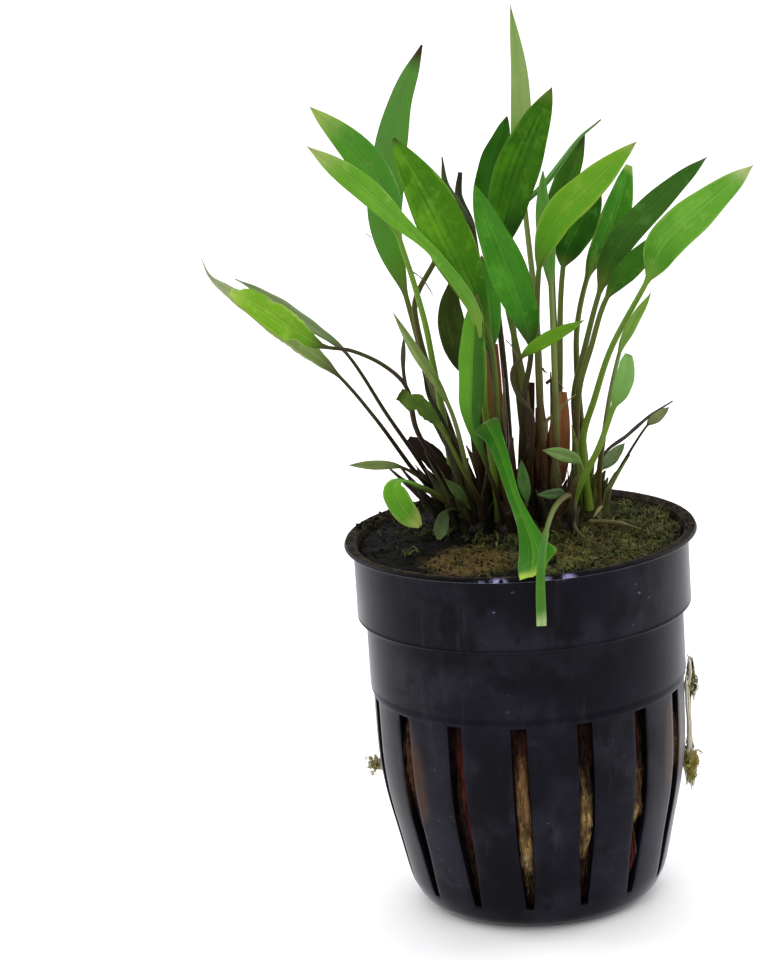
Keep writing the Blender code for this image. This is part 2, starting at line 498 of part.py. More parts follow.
def leaf_solid(leaf):
    """Four points a ring: two edges, the midrib above and the midrib below."""
    rings = leaf_rings(leaf)
    shape = bmesh.new()
    loops = []
    for (place, way, half, thick, folded), face in zip(rings, facing(rings, leaf.turn)):
        side = way.cross(face)
        fold = math.radians(leaf.fold) * folded
        out, lift = side * half * math.cos(fold), face * half * math.sin(fold)
        rib = face * thick / 2
        if half <= 0:
            loops.append([shape.verts.new(place)])
        else:
            loops.append([shape.verts.new(place + step) for step in (lift - out, rib, lift + out, -rib)])
    for loop, following in zip(loops, loops[1:]):
        for index in range(4):
            after = (index + 1) % 4
            if len(following) == 1:
                shape.faces.new((loop[index], loop[after], following[0]))
            else:
                shape.faces.new((loop[index], loop[after], following[after], following[index]))
    shape.faces.new(reversed(loops[0]))
    if len(loops[-1]) == 4:
        shape.faces.new(loops[-1])
    return shape


def make_leaves():
    looks = {
        "leaf": material("leaf_green", (0.07, 0.22, 0.02), 0.45),
        "stalk": material("stalk_green", (0.09, 0.16, 0.03), 0.5),
        "sheath": material("sheath_brown", (0.12, 0.05, 0.02), 0.6),
    }
    for leaf in LEAVES:
        kind = leaf.name.split("_")[0]
        add_object(leaf.name, leaf_solid(leaf), looks[kind])


def main():
    remove_everything()
    make_pot()
    make_wool()
    make_crowns()
    make_leaves()


main()
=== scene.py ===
# %% [markdown]
# A young aquarium plant in the black slotted pot that it is sold in: a clump of lance-shaped leaves on thin
# stalks, growing out of damp brown wool with moss and soil on top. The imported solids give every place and
# size. This file dresses them: each solid is replaced by a finer mesh in the same place, with a material
# built from nodes. The pot's axis is Z, its underside is at 0, and the plant's good side faces -Y.

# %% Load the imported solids
import math
import random
from collections import namedtuple

import bmesh
import bpy
from mathutils import Matrix, Vector, noise
from mathutils.geometry import interpolate_bezier


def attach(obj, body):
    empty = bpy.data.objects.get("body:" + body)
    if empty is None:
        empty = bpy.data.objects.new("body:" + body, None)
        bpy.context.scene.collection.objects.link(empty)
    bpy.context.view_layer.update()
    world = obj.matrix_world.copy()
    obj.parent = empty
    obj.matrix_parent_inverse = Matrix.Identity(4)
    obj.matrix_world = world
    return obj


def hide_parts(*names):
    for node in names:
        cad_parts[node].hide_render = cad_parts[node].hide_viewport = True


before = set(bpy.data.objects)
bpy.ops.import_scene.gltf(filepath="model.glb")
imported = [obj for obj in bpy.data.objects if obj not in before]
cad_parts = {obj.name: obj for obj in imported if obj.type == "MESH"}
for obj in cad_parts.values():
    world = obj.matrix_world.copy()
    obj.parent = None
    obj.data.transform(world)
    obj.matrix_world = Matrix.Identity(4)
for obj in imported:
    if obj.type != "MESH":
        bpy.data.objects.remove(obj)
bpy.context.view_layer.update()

MM = 0.001

# %% [markdown]
# Colours are easiest to read as the 0 to 255 values of a paint program, but shaders work with linear light.
# One small function turns the first into the second, so that every colour below can be written the plain way.


# %% Colours
def srgb(red, green, blue):
    """A colour of 0 to 255 values as the linear colour that a shader reads."""
    shares = [value / 255 for value in (red, green, blue)]
    linear = [share / 12.92 if share <= 0.04045 else ((share + 0.055) / 1.055) ** 2.4 for share in shares]
    return (*linear, 1.0)


# %% [markdown]
# Shader trees and Geometry Nodes trees are both made of nodes, values and links. A wire is a node's output,
# wrapped so that plus, minus, times and divide add the Math nodes that do the sum. A tree then reads like
# the formula that it works out. A node's inputs are fed by place or by name, each with a value, which becomes
# the input's default, or with a wire, which is linked to it.


# %% Wires and nodes
class Wire:
    """A node's output, which can be added, subtracted, multiplied and divided like a number."""

    def __init__(self, socket):
        self.socket = socket
        self.tree = socket.id_data

    def __add__(self, other):
        return calc("ADD", self, other)

    def __sub__(self, other):
        return calc("SUBTRACT", self, other)

    def __mul__(self, other):
        return calc("MULTIPLY", self, other)

    def __truediv__(self, other):
        return calc("DIVIDE", self, other)


def feed(node, inputs):
    """Feed a node's inputs, each with a value or a wire."""
    for key, value in inputs.items() if isinstance(inputs, dict) else enumerate(inputs):
        if isinstance(value, Wire):
            node.id_data.links.new(value.socket, node.inputs[key])
        elif value is not None:
            node.inputs[key].default_value = value


def new_node(tree, kind, inputs=(), **settings):
    """Add a node, set what it is, and feed it."""
    node = tree.nodes.new(kind)
    for name, value in settings.items():
        setattr(node, name, value)
    feed(node, inputs)
    return node


def add(tree, kind, inputs=(), output=0, **settings):
    """Add a node and return one of its outputs."""
    return Wire(new_node(tree, kind, inputs, **settings).outputs[output])


def new_tree(name, kind, inputs, outputs):
    """A tree with named inputs, each with its kind and default, and outputs. Returns also both its ends."""
    tree = bpy.data.node_groups.new(name, kind + "NodeTree")
    for title, (socket_kind, default) in inputs.items():
        socket = tree.interface.new_socket(title, in_out="INPUT", socket_type="NodeSocket" + socket_kind)
        if default is not None:
            socket.default_value = default
    for title, socket_kind in outputs.items():
        tree.interface.new_socket(title, in_out="OUTPUT", socket_type="NodeSocket" + socket_kind)
    start = tree.nodes.new("NodeGroupInput")
    return tree, {title: Wire(start.outputs[title]) for title in inputs}, tree.nodes.new("NodeGroupOutput")


# %% Arithmetic with wires
def calc(operation, *values, clamp=False):
    """One step of arithmetic."""
    tree = next(value.tree for value in values if isinstance(value, Wire))
    return add(tree, "ShaderNodeMath", values, operation=operation, use_clamp=clamp)


def most(first, second):
    """The greater of two values."""
    return calc("MAXIMUM", first, second)


def scaled(value, factor, plus):
    """A value times a factor, plus another value, in one node."""
    return calc("MULTIPLY_ADD", value, factor, plus)


def vector(operation, first, second=None, scale=None):
    """One step of vector arithmetic."""
    output = "Value" if operation in ("LENGTH", "DISTANCE") else "Vector"
    return add(first.tree, "ShaderNodeVectorMath", {0: first, 1: second, "Scale": scale}, output,
               operation=operation)


def parts(place):
    """The three coordinates of a place."""
    return [Wire(socket) for socket in new_node(place.tree, "ShaderNodeSeparateXYZ", (place,)).outputs]


def ramp(value, low, high, to_low=0.0, to_high=1.0):
    """Turn a value between low and high into a smooth step."""
    return add(value.tree, "ShaderNodeMapRange", (value, low, high, to_low, to_high),
               interpolation_type="SMOOTHSTEP")


def band(value, low, high):
    """A smooth step between two lengths in millimetres."""
    return ramp(value, low * MM, high * MM)


def blend(share, first, second):
    """Mix two colours."""
    return add(share.tree, "ShaderNodeMix", {0: share, 6: first, 7: second}, 2, data_type="RGBA")


def cloud(place, scale, detail=3.0, roughness=0.55):
    """Soft noise around 0.5 at a scale in features a metre."""
    return add(place.tree, "ShaderNodeTexNoise", {"Vector": place, "Scale": scale, "Detail": detail,
                                                  "Roughness": roughness})


# %% [markdown]
# A Geometry Nodes tree is run on an object as a modifier. Its inputs are set by their identifiers, because
# a modifier doesn't know their names. What it makes is then kept as a plain mesh, without the modifier. All
# the trees end alike: instances become real faces, and the faces get their material.


# %% Run Geometry Nodes trees
def end_tree(geometry, material, end):
    """The last nodes of every Geometry Nodes tree."""
    real = add(geometry.tree, "GeometryNodeRealizeInstances", (geometry,))
    feed(end, (add(geometry.tree, "GeometryNodeSetMaterial", {"Geometry": real, "Material": material}),))


def carried(tree, name, kind="FLOAT"):
    """A value that a mesh's points carry, by its name."""
    return add(tree, "GeometryNodeInputNamedAttribute", {"Name": name}, data_type=kind)


def freeze(thing):
    """Keep what an object's modifiers make as its plain mesh."""
    graph = bpy.context.evaluated_depsgraph_get()
    mesh = bpy.data.meshes.new_from_object(thing.evaluated_get(graph), preserve_all_data_layers=True,
                                           depsgraph=graph)
    thing.modifiers.clear()
    old, thing.data = thing.data, mesh
    bpy.data.meshes.remove(old)
    mesh.name = thing.name


def grow(tree, start, values):
    """Run a tree on an object, with values for its inputs by name, and keep the result."""
    modifier = start.modifiers.new(tree.name, "NODES")
    modifier.node_group = tree
    for item in tree.interface.items_tree:
        if item.item_type == "SOCKET" and item.in_out == "INPUT" and item.name in values:
            modifier[item.identifier] = values[item.name]
    freeze(start)
    return start


def new_object(name, data):
    """An object in the scene, of a mesh, a light or a camera."""
    thing = bpy.data.objects.new(name, data)
    bpy.context.scene.collection.objects.link(thing)
    return thing


def mesh_of(name, places, edges, faces, numbers={}):
    """A mesh from points in metres, with numbers stored on its points by name."""
    mesh = bpy.data.meshes.new(name)
    mesh.from_pydata(places, edges, faces)
    for title, values in numbers.items():
        mesh.attributes.new(title, "FLOAT", "POINT").data.foreach_set("value", values)
    return mesh


# %% [markdown]
# The camera and light come first, so that every later step can be looked at. The photograph was taken with
# a long lens from a little above, with the camera tilted about three degrees, and the object was cut out on
# white. So the floor is a plain pale sheet, and big soft lights stand on both sides: a satin black pot
# shows mostly what it reflects, and in the photograph its two edges reflect something bright.

# %% Camera
CAMERA_PLACE = Vector((0.0, -523.45, 198.31)) * MM
CAMERA_RIGHT = Vector((0.99767, 0.02404, -0.06377))
CAMERA_UP = Vector((0.05604, 0.24291, 0.96843))
LENS = 130.85   # millimetres, on a sensor 36 mm along the picture's long side

camera = new_object("camera", bpy.data.cameras.new("camera"))
camera.data.lens = LENS
camera.data.sensor_width = 36.0
camera.data.clip_start = 0.01
backwards = CAMERA_RIGHT.cross(CAMERA_UP).normalized()
turn = Matrix((CAMERA_RIGHT, CAMERA_UP, backwards)).transposed()
camera.matrix_world = Matrix.Translation(CAMERA_PLACE) @ turn.to_4x4()
bpy.context.scene.camera = camera
print("camera stands", round(CAMERA_PLACE.length, 3), "m from the pot's foot")

# %% Lights and surroundings
LIGHT_AIM = Vector((0, 0, 0.07))       # the middle of the plant
# Place and size in metres, and watts
LIGHTS = {
    "light_above": ((0.1, -0.2, 1.1), 0.9, 3.0),
    "light_left": ((-0.7, 0.3, 0.35), 0.5, 3.2),
    "light_right": ((0.7, 0.35, 0.35), 0.5, 3.6),
    "light_front": ((-0.35, -1.0, 0.75), 0.5, 1.0),
    "light_behind": ((0.0, 1.9, 1.5), 2.4, 34.0),
}
for name, (place, size, watts) in LIGHTS.items():
    light = bpy.data.lights.new(name, "AREA")
    light.size = size
    light.energy = watts
    lamp = new_object(name, light)
    lamp.location = place
    lamp.rotation_euler = (LIGHT_AIM - Vector(place)).to_track_quat("-Z", "Y").to_euler()

surroundings = bpy.data.worlds.new("studio")
surroundings.use_nodes = True
feed(surroundings.node_tree.nodes["Background"], {"Color": srgb(252, 252, 255), "Strength": 0.8})
bpy.context.scene.world = surroundings
bpy.context.scene.view_settings.view_transform = "Standard"
print("lights:", ", ".join(LIGHTS))

# %% Floor
HALF_FLOOR = 4.0

corners_of_floor = [(x * HALF_FLOOR, y * HALF_FLOOR, 0) for x, y in ((-1, -1), (1, -1), (1, 1), (-1, 1))]
floor = new_object("floor", mesh_of("floor", corners_of_floor, [], [(0, 1, 2, 3)]))
floor_look = bpy.data.materials.new("floor_white")
floor_look.use_nodes = True
feed(floor_look.node_tree.nodes["Principled BSDF"], {
    "Base Color": (0.94, 0.94, 0.94, 1), "Roughness": 0.9, "Specular IOR Level": 0.1})
floor.data.materials.append(floor_look)

# %% [markdown]
# Outlines of grown and moulded things are smooth curves through a few measured points. This function gives
# the value at any place on such a curve: the pot's radius at a height, or a leaf's width along its blade.


# %% Smooth curve through measured points
def through(points, at):
    """The value at a place, on a smooth curve through (place, value) points."""
    step = 1
    while step < len(points) - 1 and points[step][0] < at:
        step += 1

    def slope(index):
        before, after = points[max(0, index - 1)], points[min(len(points) - 1, index + 1)]
        return (after[1] - before[1]) / (after[0] - before[0])

    (start, low), (end, high) = points[step - 1], points[step]
    span = end - start
    part = min(1.0, max(0.0, (at - start) / span))
    square, cube = part ** 2, part ** 3
    return ((2 * cube - 3 * square + 1) * low + (cube - 2 * square + part) * span * slope(step - 1)
            + (3 * square - 2 * cube) * high + (cube - square) * span * slope(step))


# %% [markdown]
# The pot is moulded plastic, a turned wall 0.8 mm thick with fifteen slots that water and roots go through.
# A wall like that is easiest as one sheet that gets its thickness at the end. The outline is a bare line of
# points from the middle of the underside to the lip, and each of them also says how wide a slot is at that
# row. A Geometry Nodes tree lays a grid over it, row by row, with two narrow columns for every slot, and
# takes away the faces that are in a slot. Solidify then gives the wall its thickness, inwards, and Bevel
# rounds the edges.

# %% Outline of the pot
POT_SLOTS = 15
SLOT_COLUMNS = 12                      # columns of the grid for each slot and the rib beside it
FIRST_BEARING = math.radians(-4.6)     # 0 is towards -Y, and 90 degrees towards +X
SLOT_PITCH = 2 * math.pi / POT_SLOTS
WALL = 0.8 * MM
SLOT_LOW, SLOT_HIGH = 4.0, 34.5
WALL_CURVE = [(3.0, 19.5), (4.5, 20.2), (12.0, 21.9), (19.0, 23.4), (25.0, 24.1), (34.5, 24.3)]
SLOT_WIDTHS = [(4.0, 1.1), (9.0, 1.8), (16.0, 2.4), (34.5, 2.4)]
BASE = [(0, 0), (3, 0), (7, 0), (8.4, 0), (9.8, 0), (11.2, 0), (12.5, 0), (14.2, 0), (15.6, 0.03),
        (16.6, 0.2), (17.5, 0.55), (18.3, 1.15), (19.0, 2.0), (19.5, 3.0)]
DRAIN = (7.0, 12.5)                    # the slots in the underside, from one radius to another
DRAIN_WIDTH = 1.8
COLLAR = [(24.36, 34.8), (24.6, 35.4), (24.7, 36.2), (24.7, 38.5), (24.7, 41), (24.7, 43.5), (24.7, 45.6),
          (24.72, 46.3), (24.85, 46.55), (25.8, 46.8), (26.0, 47.05), (26.03, 47.8), (26, 50), (26, 52.5),
          (26, 55), (26, 57), (26.02, 57.6), (26.15, 57.95), (26.5, 58.15), (27.15, 58.2), (27.42, 58.33)]
SLOT_ROWS = 26


def pot_outline():
    """The outline as a line of points, with the slot's width at each and whether a slot goes on from it."""
    rows = [(radius, height, DRAIN_WIDTH * min(1.0, radius / DRAIN[0]), DRAIN[0] <= radius < DRAIN[1])
            for radius, height in BASE]
    for index in range(SLOT_ROWS + 1):
        height = SLOT_LOW + (SLOT_HIGH - SLOT_LOW) * index / SLOT_ROWS
        rows.append((through(WALL_CURVE, height), height, through(SLOT_WIDTHS, height), index < SLOT_ROWS))
    rows += [(radius, height, SLOT_WIDTHS[-1][1], False) for radius, height in COLLAR]
    places = [(radius * MM, 0, height * MM) for radius, height, width, is_open in rows]
    numbers = {"width": [row[2] for row in rows], "open": [float(row[3]) for row in rows]}
    edges = [(index, index + 1) for index in range(len(rows) - 1)]
    return new_object("pot_shell", mesh_of("pot_outline", places, edges, [], numbers))


# %% Geometry Nodes tree that turns an outline into a slotted wall
def wall_tree():
    tree, inputs, end = new_tree("slotted_wall", "Geometry", {
        "Outline": ("Geometry", None), "Slots": ("Int", 15), "Columns": ("Int", 12),
        "First bearing": ("Float", 0.0), "Warp": ("Float", 0.06 * MM), "Plastic": ("Material", None),
    }, {"Wall": "Geometry"})
    outline, slots, columns = inputs["Outline"], inputs["Slots"], inputs["Columns"]
    rows = add(tree, "GeometryNodeAttributeDomainSize", (outline,), "Point Count", component="MESH")
    grid = add(tree, "GeometryNodeMeshGrid", {"Vertices X": scaled(slots, columns, 1.0), "Vertices Y": rows})
    index = add(tree, "GeometryNodeInputIndex")

    def place_in(count):
        """Column and row of the vertex or face with this index, where a column holds count of them."""
        column = calc("FLOOR", (index + 0.5) / count)
        return column, index - column * count

    def sample(value, kind, row):
        """What the outline's point at a row has."""
        return add(tree, "GeometryNodeSampleIndex", {"Geometry": outline, "Value": value, "Index": row},
                   data_type=kind, domain="POINT")

    column, row = place_in(rows)
    radius, _, height = parts(sample(add(tree, "GeometryNodeInputPosition"), "FLOAT_VECTOR", row))
    pitch = calc("DIVIDE", 2 * math.pi, slots)
    half = sample(carried(tree, "width"), "FLOAT", row) * (MM / 2) / most(radius, 0.1 * MM)
    sector = calc("FLOOR", (column + 0.5) / columns)
    inner = column - sector * columns
    between = columns - 2.0
    rib = pitch - half * 2.0
    share = calc("DIVIDE", inner - 1.0, between, clamp=True)
    last = calc("SUBTRACT", inner, between + 1.0, clamp=True)
    angle = scaled(share, rib, calc("MINIMUM", inner, 1.0) * half)
    angle = scaled(last, half, angle)
    angle = scaled(sector, pitch, angle) + inputs["First bearing"]

    # The wall is a little out of round
    sine, cosine = calc("SINE", angle), calc("COSINE", angle)
    round_by = add(tree, "ShaderNodeCombineXYZ", (sine, cosine, height * 12.0))
    warp = (cloud(round_by, 1.6, 1.0) - 0.5) * inputs["Warp"] * (radius * 80.0)
    wide = radius + warp
    place = add(tree, "ShaderNodeCombineXYZ", (wide * sine, wide * (cosine * -1.0), height))
    laid = add(tree, "GeometryNodeSetPosition", {"Geometry": grid, "Position": place})

    # Faces go where they are in a slot's two columns and their row is open
    face_column, face_row = place_in(rows - 1.0)
    spot = calc("FLOORED_MODULO", face_column, columns)
    at_edge = most(calc("LESS_THAN", spot, 0.5), calc("GREATER_THAN", spot, between + 0.5))
    is_open = at_edge * sample(carried(tree, "open"), "FLOAT", face_row)
    slotted = add(tree, "GeometryNodeDeleteGeometry", {
        "Geometry": laid, "Selection": calc("GREATER_THAN", is_open, 0.5)}, domain="FACE")
    closed = add(tree, "GeometryNodeMergeByDistance", {"Geometry": slotted, "Distance": 0.01 * MM})
    end_tree(closed, inputs["Plastic"], end)
    return tree


# %% [markdown]
# Black plastic is hardly ever plain black. This one is dark and a little blue. Handling has left duller
# smudges, soil sticks to the top and the inside of the lip, and there are a few pale marks on the front of
# the rim. The corners of the two ledges and the band under the collar are darker: painted shade. All of them
# are places on the pot, so they are measured from points, heights and distances in the piece's own space. A
# bloom of fine dust and scratches makes the wall look grey where it is seen at a slant. That is what a
# shader's sheen does, so the wall has one. The faces inside the slots, under the two ledges and at the foot
# have none, and they get a darker copy of the plastic: painted shade.

# %% Where the plastic is marked, in millimetres
# Pale marks: place, size, and how strong
CHALK_MARKS = [(-3.6, -27.2, 58.3, 1.3, 1.0), (-6.4, -26.8, 58.2, 0.9, 0.6), (6.2, -26.8, 58.4, 1.7, 0.9),
               (3.4, -27.2, 58.4, 1.0, 0.7), (-1.6, -26.0, 56.4, 0.3, 0.35), (-4.6, -25.6, 53.4, 0.3, 0.45),
               (17.4, -19.4, 53.4, 0.4, 0.3), (18.8, -18.0, 52.2, 0.3, 0.25), (16.9, -19.8, 54.9, 0.3, 0.2)]
MARK_SQUEEZE = 1.8                     # how much flatter than wide a mark is
# Brown run-off beside three slots: place, size, and how strong
BROWN_RUNS = [(-18.5, -15.7, 24.0, 3.2, 1.0), (21.4, -11.2, 26.0, 2.6, 1.0), (23.2, -6.9, 26.0, 2.4, 1.0)]
RUN_SQUEEZE = 0.3
COLLAR_FOOT = 46.9
LEDGES = [(COLLAR_FOOT, 0.9, 0.45), (35.5, 0.9, 0.12)]   # height, reach of the painted shade, and how dark it is
SHADE_UNDER_COLLAR = (42.0, 46.6)      # shade starts and is full, between these heights
LIP_TOP = (58.35, 58.85)               # dirt starts and is full, between these heights and these radii
LIP_RADII = (27.3, 26.95)
INSIDE_HEIGHTS = (55.0, 56.0)
INSIDE_RADII = (25.9, 25.6)
DRY_SIDE = (10.0, 22.0)                # the dirt on the lip is dry towards the right


# %% Shader group for worn black plastic
SKIN_OUTPUTS = {"Color": "Color", "Roughness": "Float", "Height": "Float"}


def marked(place, marks, squeeze, fade, edge, raggedness):
    """How strongly a place is in any of some marks, with edges that a noise makes ragged."""
    stretched = vector("MULTIPLY", place, (1.0, 1.0, squeeze))
    strongest = 0.0
    for x, y, z, size, strength in marks:
        away = vector("DISTANCE", stretched, (x * MM, y * MM, z * squeeze * MM))
        away = scaled(edge - 0.5, raggedness * MM, away)
        strongest = most(strongest, ramp(away, size * fade * MM, size * 0.5 * MM, 0.0, strength))
    return strongest


def plastic_group():
    tree, inputs, end = new_tree("worn_plastic", "Shader", {
        "Place": ("Vector", None), "Plastic": ("Color", srgb(14, 13, 19)),
        "Smudge": ("Color", srgb(32, 30, 39)), "Dust": ("Color", srgb(128, 124, 118)),
        "Dirt": ("Color", srgb(26, 21, 14)), "Dry dirt": ("Color", srgb(60, 52, 40)),
    }, SKIN_OUTPUTS)
    place, dust = inputs["Place"], inputs["Dust"]
    x, _, height = parts(place)
    radius = vector("LENGTH", vector("MULTIPLY", place, (1.0, 1.0, 0.0)))
    smudges = cloud(place, 90.0, 4.0, 0.6)
    blotches = cloud(place, 230.0, 3.0, 0.6)
    grit = cloud(place, 700.0, 4.0, 0.65)
    colour = blend(ramp(smudges, 0.42, 0.66), inputs["Plastic"], inputs["Smudge"])
    colour = blend(ramp(blotches, 0.56, 0.68) * 0.7, colour, srgb(9, 8, 12))
    colour = blend(ramp(cloud(place, 55.0, 2.0), 0.5, 0.68) * 0.35, colour, srgb(24, 22, 38))

    # Upright runs of dust, flecks, chalk and brown run-off
    upright = vector("MULTIPLY", place, (1.0, 1.0, 0.12))
    runs = ramp(cloud(upright, 300.0, 4.0, 0.65), 0.56, 0.8)
    colour = blend(runs * 0.08, colour, dust)
    flecks = ramp(cloud(place, 1700.0, 1.0), 0.72, 0.8) * ramp(smudges, 0.5, 0.6)
    colour = blend(flecks * 0.2, colour, dust)
    chalk = marked(place, CHALK_MARKS, MARK_SQUEEZE, 1.4, grit, 1.2) * ramp(grit, 0.42, 0.58)
    colour = blend(chalk, colour, srgb(146, 144, 182))
    brown = marked(place, BROWN_RUNS, RUN_SQUEEZE, 1.0, blotches, 2.5) * ramp(runs, 0.0, 0.5, 0.75, 0.95)
    colour = blend(brown, colour, srgb(66, 45, 34))

    # Painted shade in the corners of the ledges and under the collar, and dirt on the lip's top and inside
    ledge, ledge_shade = 0.0, 0.0
    for middle, reach, dark in LEDGES:
        near = band(calc("ABSOLUTE", height - middle * MM), reach, 0.3 * reach)
        ledge = most(ledge, near)
        ledge_shade = most(ledge_shade, near * dark)
    shaded = band(height, *SHADE_UNDER_COLLAR) * calc("LESS_THAN", height, COLLAR_FOOT * MM)
    colour = blend(most(ledge_shade, shaded * 0.35), colour, srgb(12, 11, 15))
    on_lip = band(height, *LIP_TOP) * band(radius, *LIP_RADII)
    inside = band(height, *INSIDE_HEIGHTS) * band(radius, *INSIDE_RADII)
    dirty = most(on_lip, inside) * ramp(blotches, 0.3, 0.42, 0.6, 1.0)
    dirt = blend(ramp(grit, 0.42, 0.68), inputs["Dirt"], inputs["Dry dirt"])
    dirt = blend(band(x, *DRY_SIDE) * ramp(blotches, 0.36, 0.56) * 0.4, dirt, dust)
    colour = blend(dirty, colour, dirt)

    cover = most(most(chalk, dirty), ledge)
    rough = calc("ADD", scaled(smudges, 0.3, 0.24), cover * 0.6, clamp=True)
    relief = scaled(dirty * grit, 2.0, scaled(grit, 0.5, smudges * 0.6))
    feed(end, {"Color": colour, "Roughness": rough, "Height": relief})
    return tree


# %% Material from a shader group
def look_from_group(name, group, shine, bump, values={}, uses={}):
    """A material whose colour, roughness and bump come from a group.

    shine is its specular level and bump the depth of its relief in metres. uses says which inputs of the
    group read the UV map or a stored attribute."""
    look = bpy.data.materials.new(name)
    look.use_nodes = True
    tree = look.node_tree
    coordinates = tree.nodes.new("ShaderNodeTexCoord").outputs
    skin = new_node(tree, "ShaderNodeGroup", {"Place": Wire(coordinates["Object"]), **values},
                    node_tree=group)
    for source, title in uses.items():
        if source == "UV":
            feed(skin, {title: Wire(coordinates["UV"])})
        else:
            feed(skin, {title: add(tree, "ShaderNodeAttribute", output="Fac", attribute_name=source)})
    relief = add(tree, "ShaderNodeBump", {"Distance": bump, "Height": Wire(skin.outputs["Height"])})
    feed(tree.nodes["Principled BSDF"], {
        "Base Color": Wire(skin.outputs["Color"]), "Roughness": Wire(skin.outputs["Roughness"]),
        "Normal": relief, "Specular IOR Level": shine})
    return look


PLASTIC_SHINE = 0.05
PLASTIC_RELIEF = 0.03 * MM
BLOOM = srgb(176, 175, 180)
WORN_PLASTIC = plastic_group()
print("nodes in the plastic's group:", len(WORN_PLASTIC.nodes))
PLASTIC = look_from_group("black_plastic", WORN_PLASTIC, PLASTIC_SHINE, PLASTIC_RELIEF)
feed(PLASTIC.node_tree.nodes["Principled BSDF"], {
    "Sheen Weight": 1.0, "Sheen Roughness": 0.3, "Sheen Tint": BLOOM})
# A darker copy of the plastic, without sheen: painted shade on the inner faces, in the slots, under the two
# ledges and at the foot
SHADED_PLASTIC = look_from_group("black_plastic_shaded", WORN_PLASTIC, PLASTIC_SHINE, PLASTIC_RELIEF, {
    "Plastic": srgb(7, 6, 7), "Smudge": srgb(14, 12, 13), "Dust": srgb(30, 25, 22)})


# %% Make the pot
def face_outwards(thing):
    """Turn a closed mesh's faces outwards."""
    shape = bmesh.new()
    shape.from_mesh(thing.data)
    bmesh.ops.recalc_face_normals(shape, faces=shape.faces)
    shape.to_mesh(thing.data)
    shape.free()


def dress(piece, node):
    """Hide the solid that a piece replaces. The plant is one body, so every piece rides on it."""
    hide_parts(node)
    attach(piece, "root")


# Heights in millimetres between which faces have no bloom and get the darker copy of the plastic, a
# painted shade: the foot, and the corners under the two edges
SHADED_HEIGHTS = [(0.1, 1.2), (34.6, 35.3), (46.3, 47.0)]
EDGE_ROUNDING = 0.14 * MM


def make_pot():
    pot = grow(wall_tree(), pot_outline(), {
        "Slots": POT_SLOTS, "Columns": SLOT_COLUMNS, "First bearing": FIRST_BEARING, "Plastic": PLASTIC})
    pot.data.materials.append(SHADED_PLASTIC)
    thickness = pot.modifiers.new("wall", "SOLIDIFY")
    thickness.thickness = WALL
    thickness.offset = -1.0
    thickness.use_even_offset = True
    thickness.use_quality_normals = True
    # The inner faces and the cut edges of the slots get the darker copy: painted shade
    thickness.material_offset = 1
    thickness.material_offset_rim = 1
    edges = pot.modifiers.new("edges", "BEVEL")
    edges.width = EDGE_ROUNDING
    edges.segments = 2
    edges.limit_method = "ANGLE"
    edges.angle_limit = math.radians(50)
    freeze(pot)
    face_outwards(pot)
    for face in pot.data.polygons:
        if any(low < face.center.z / MM < high for low, high in SHADED_HEIGHTS):
            face.material_index = 1
    pot.data.shade_smooth()
    pot.data.set_sharp_from_angle(angle=math.radians(34))
    dress(pot, "pot")
    return pot


pot = make_pot()
print("pot faces:", len(pot.data.polygons), "box:", [round(value * 1000, 1) for value in pot.dimensions])

# %% [markdown]
# Brown wool fills the pot, and soil and moss have settled on top of it. It is a soft lump without a rule, so
# it is made point by point: a turned block, pushed about by noise. In the slots it lies deep in the shade at
# the top, and bulges out further down, where it is pale. Two stored values tell the material where it is
# pale and where it is reddish.

# %% Shape of the wool
WOOL_BEARINGS = [2 * math.pi * index / (POT_SLOTS * 20) for index in range(POT_SLOTS * 20)]
WOOL_EDGE, WOOL_MIDDLE = 57.8, 58.6    # height of its top at the wall and in the middle
WOOL_FOOT_RADIUS, WOOL_RADIUS = 18, 25.0
WOOL_ROWS = [1.6 + 0.62 * index for index in range(91)]
RING_STEP = 0.55                       # from one ring of the top to the next
INSIDE_COLLAR, INSIDE_LIP = 24.7, 25.9 # the pot's radius above the slots and above the upper ledge
# What is seen in a slot: its number, from one height to another, how far out, how pale and how red
BULGES = [
    (0, 8.5, 33, 1.3, 0.1, 0.35), (0, 9, 30, 0.9, 0.45, 0.0), (0, 9.2, 17, 0.8, 0.9, 0.0),
    (1, 11, 27.5, 1.9, 0.6, 0.1), (1, 11.5, 20, 0.6, 0.7, 0.0),
    (2, 25, 33, 0.9, 0.0, 0.9), (2, 15, 28, 1.3, 0.4, 0.3), (2, 14.5, 19.5, 0.8, 0.7, 0.0),
    (2, 4.5, 14.5, 1.7, 0.0, 1.2), (3, 12.5, 36, 1.6, 0.25, 0.2), (-1, 5, 33, 0.9, 0.05, 0.6),
    (-2, 13, 36, 1.8, 0.12, 0.4), (4, 16, 33, 1.3, 0.35, 0.1), (5, 8, 24, 1.3, 0.4, 0.0),
    (6, 18, 33, 1.0, 0.2, 0.3), (7, 6, 20, 1.4, 0.5, 0.1), (8, 12, 30, 1.2, 0.3, 0.2),
    (9, 7, 18, 1.0, 0.1, 0.5), (10, 15, 33, 1.4, 0.4, 0.0), (11, 9, 22, 1.2, 0.4, 0.1),
]
SLOT_LIP = 1.05                        # wool this many half slots from a slot's middle stays behind the wall
SET_BACK, BEHIND_WALL, FURTHEST = -1.3, -0.3, 1.2    # where wool lies, from the wall's inner face outwards


def wobble(place, size, seed=0.0):
    """Smooth noise between about -1 and 1, with features of a size in metres."""
    return noise.fractal(Vector(place) / size + Vector((seed, seed, seed)), 0.7, 2.0, 3)


def wool_height(x, y):
    """The height of the soil, a low dome with lumps and crumbs, at a place in metres."""
    dome = 1 - (x * x + y * y) / (WOOL_RADIUS * MM) ** 2
    lumps = 0.35 * wobble((x, y, 0), 5.5 * MM) + 0.3 * wobble((x, y, 0), 1.6 * MM, 4.0)
    return (WOOL_EDGE + (WOOL_MIDDLE - WOOL_EDGE) * dome + lumps) * MM


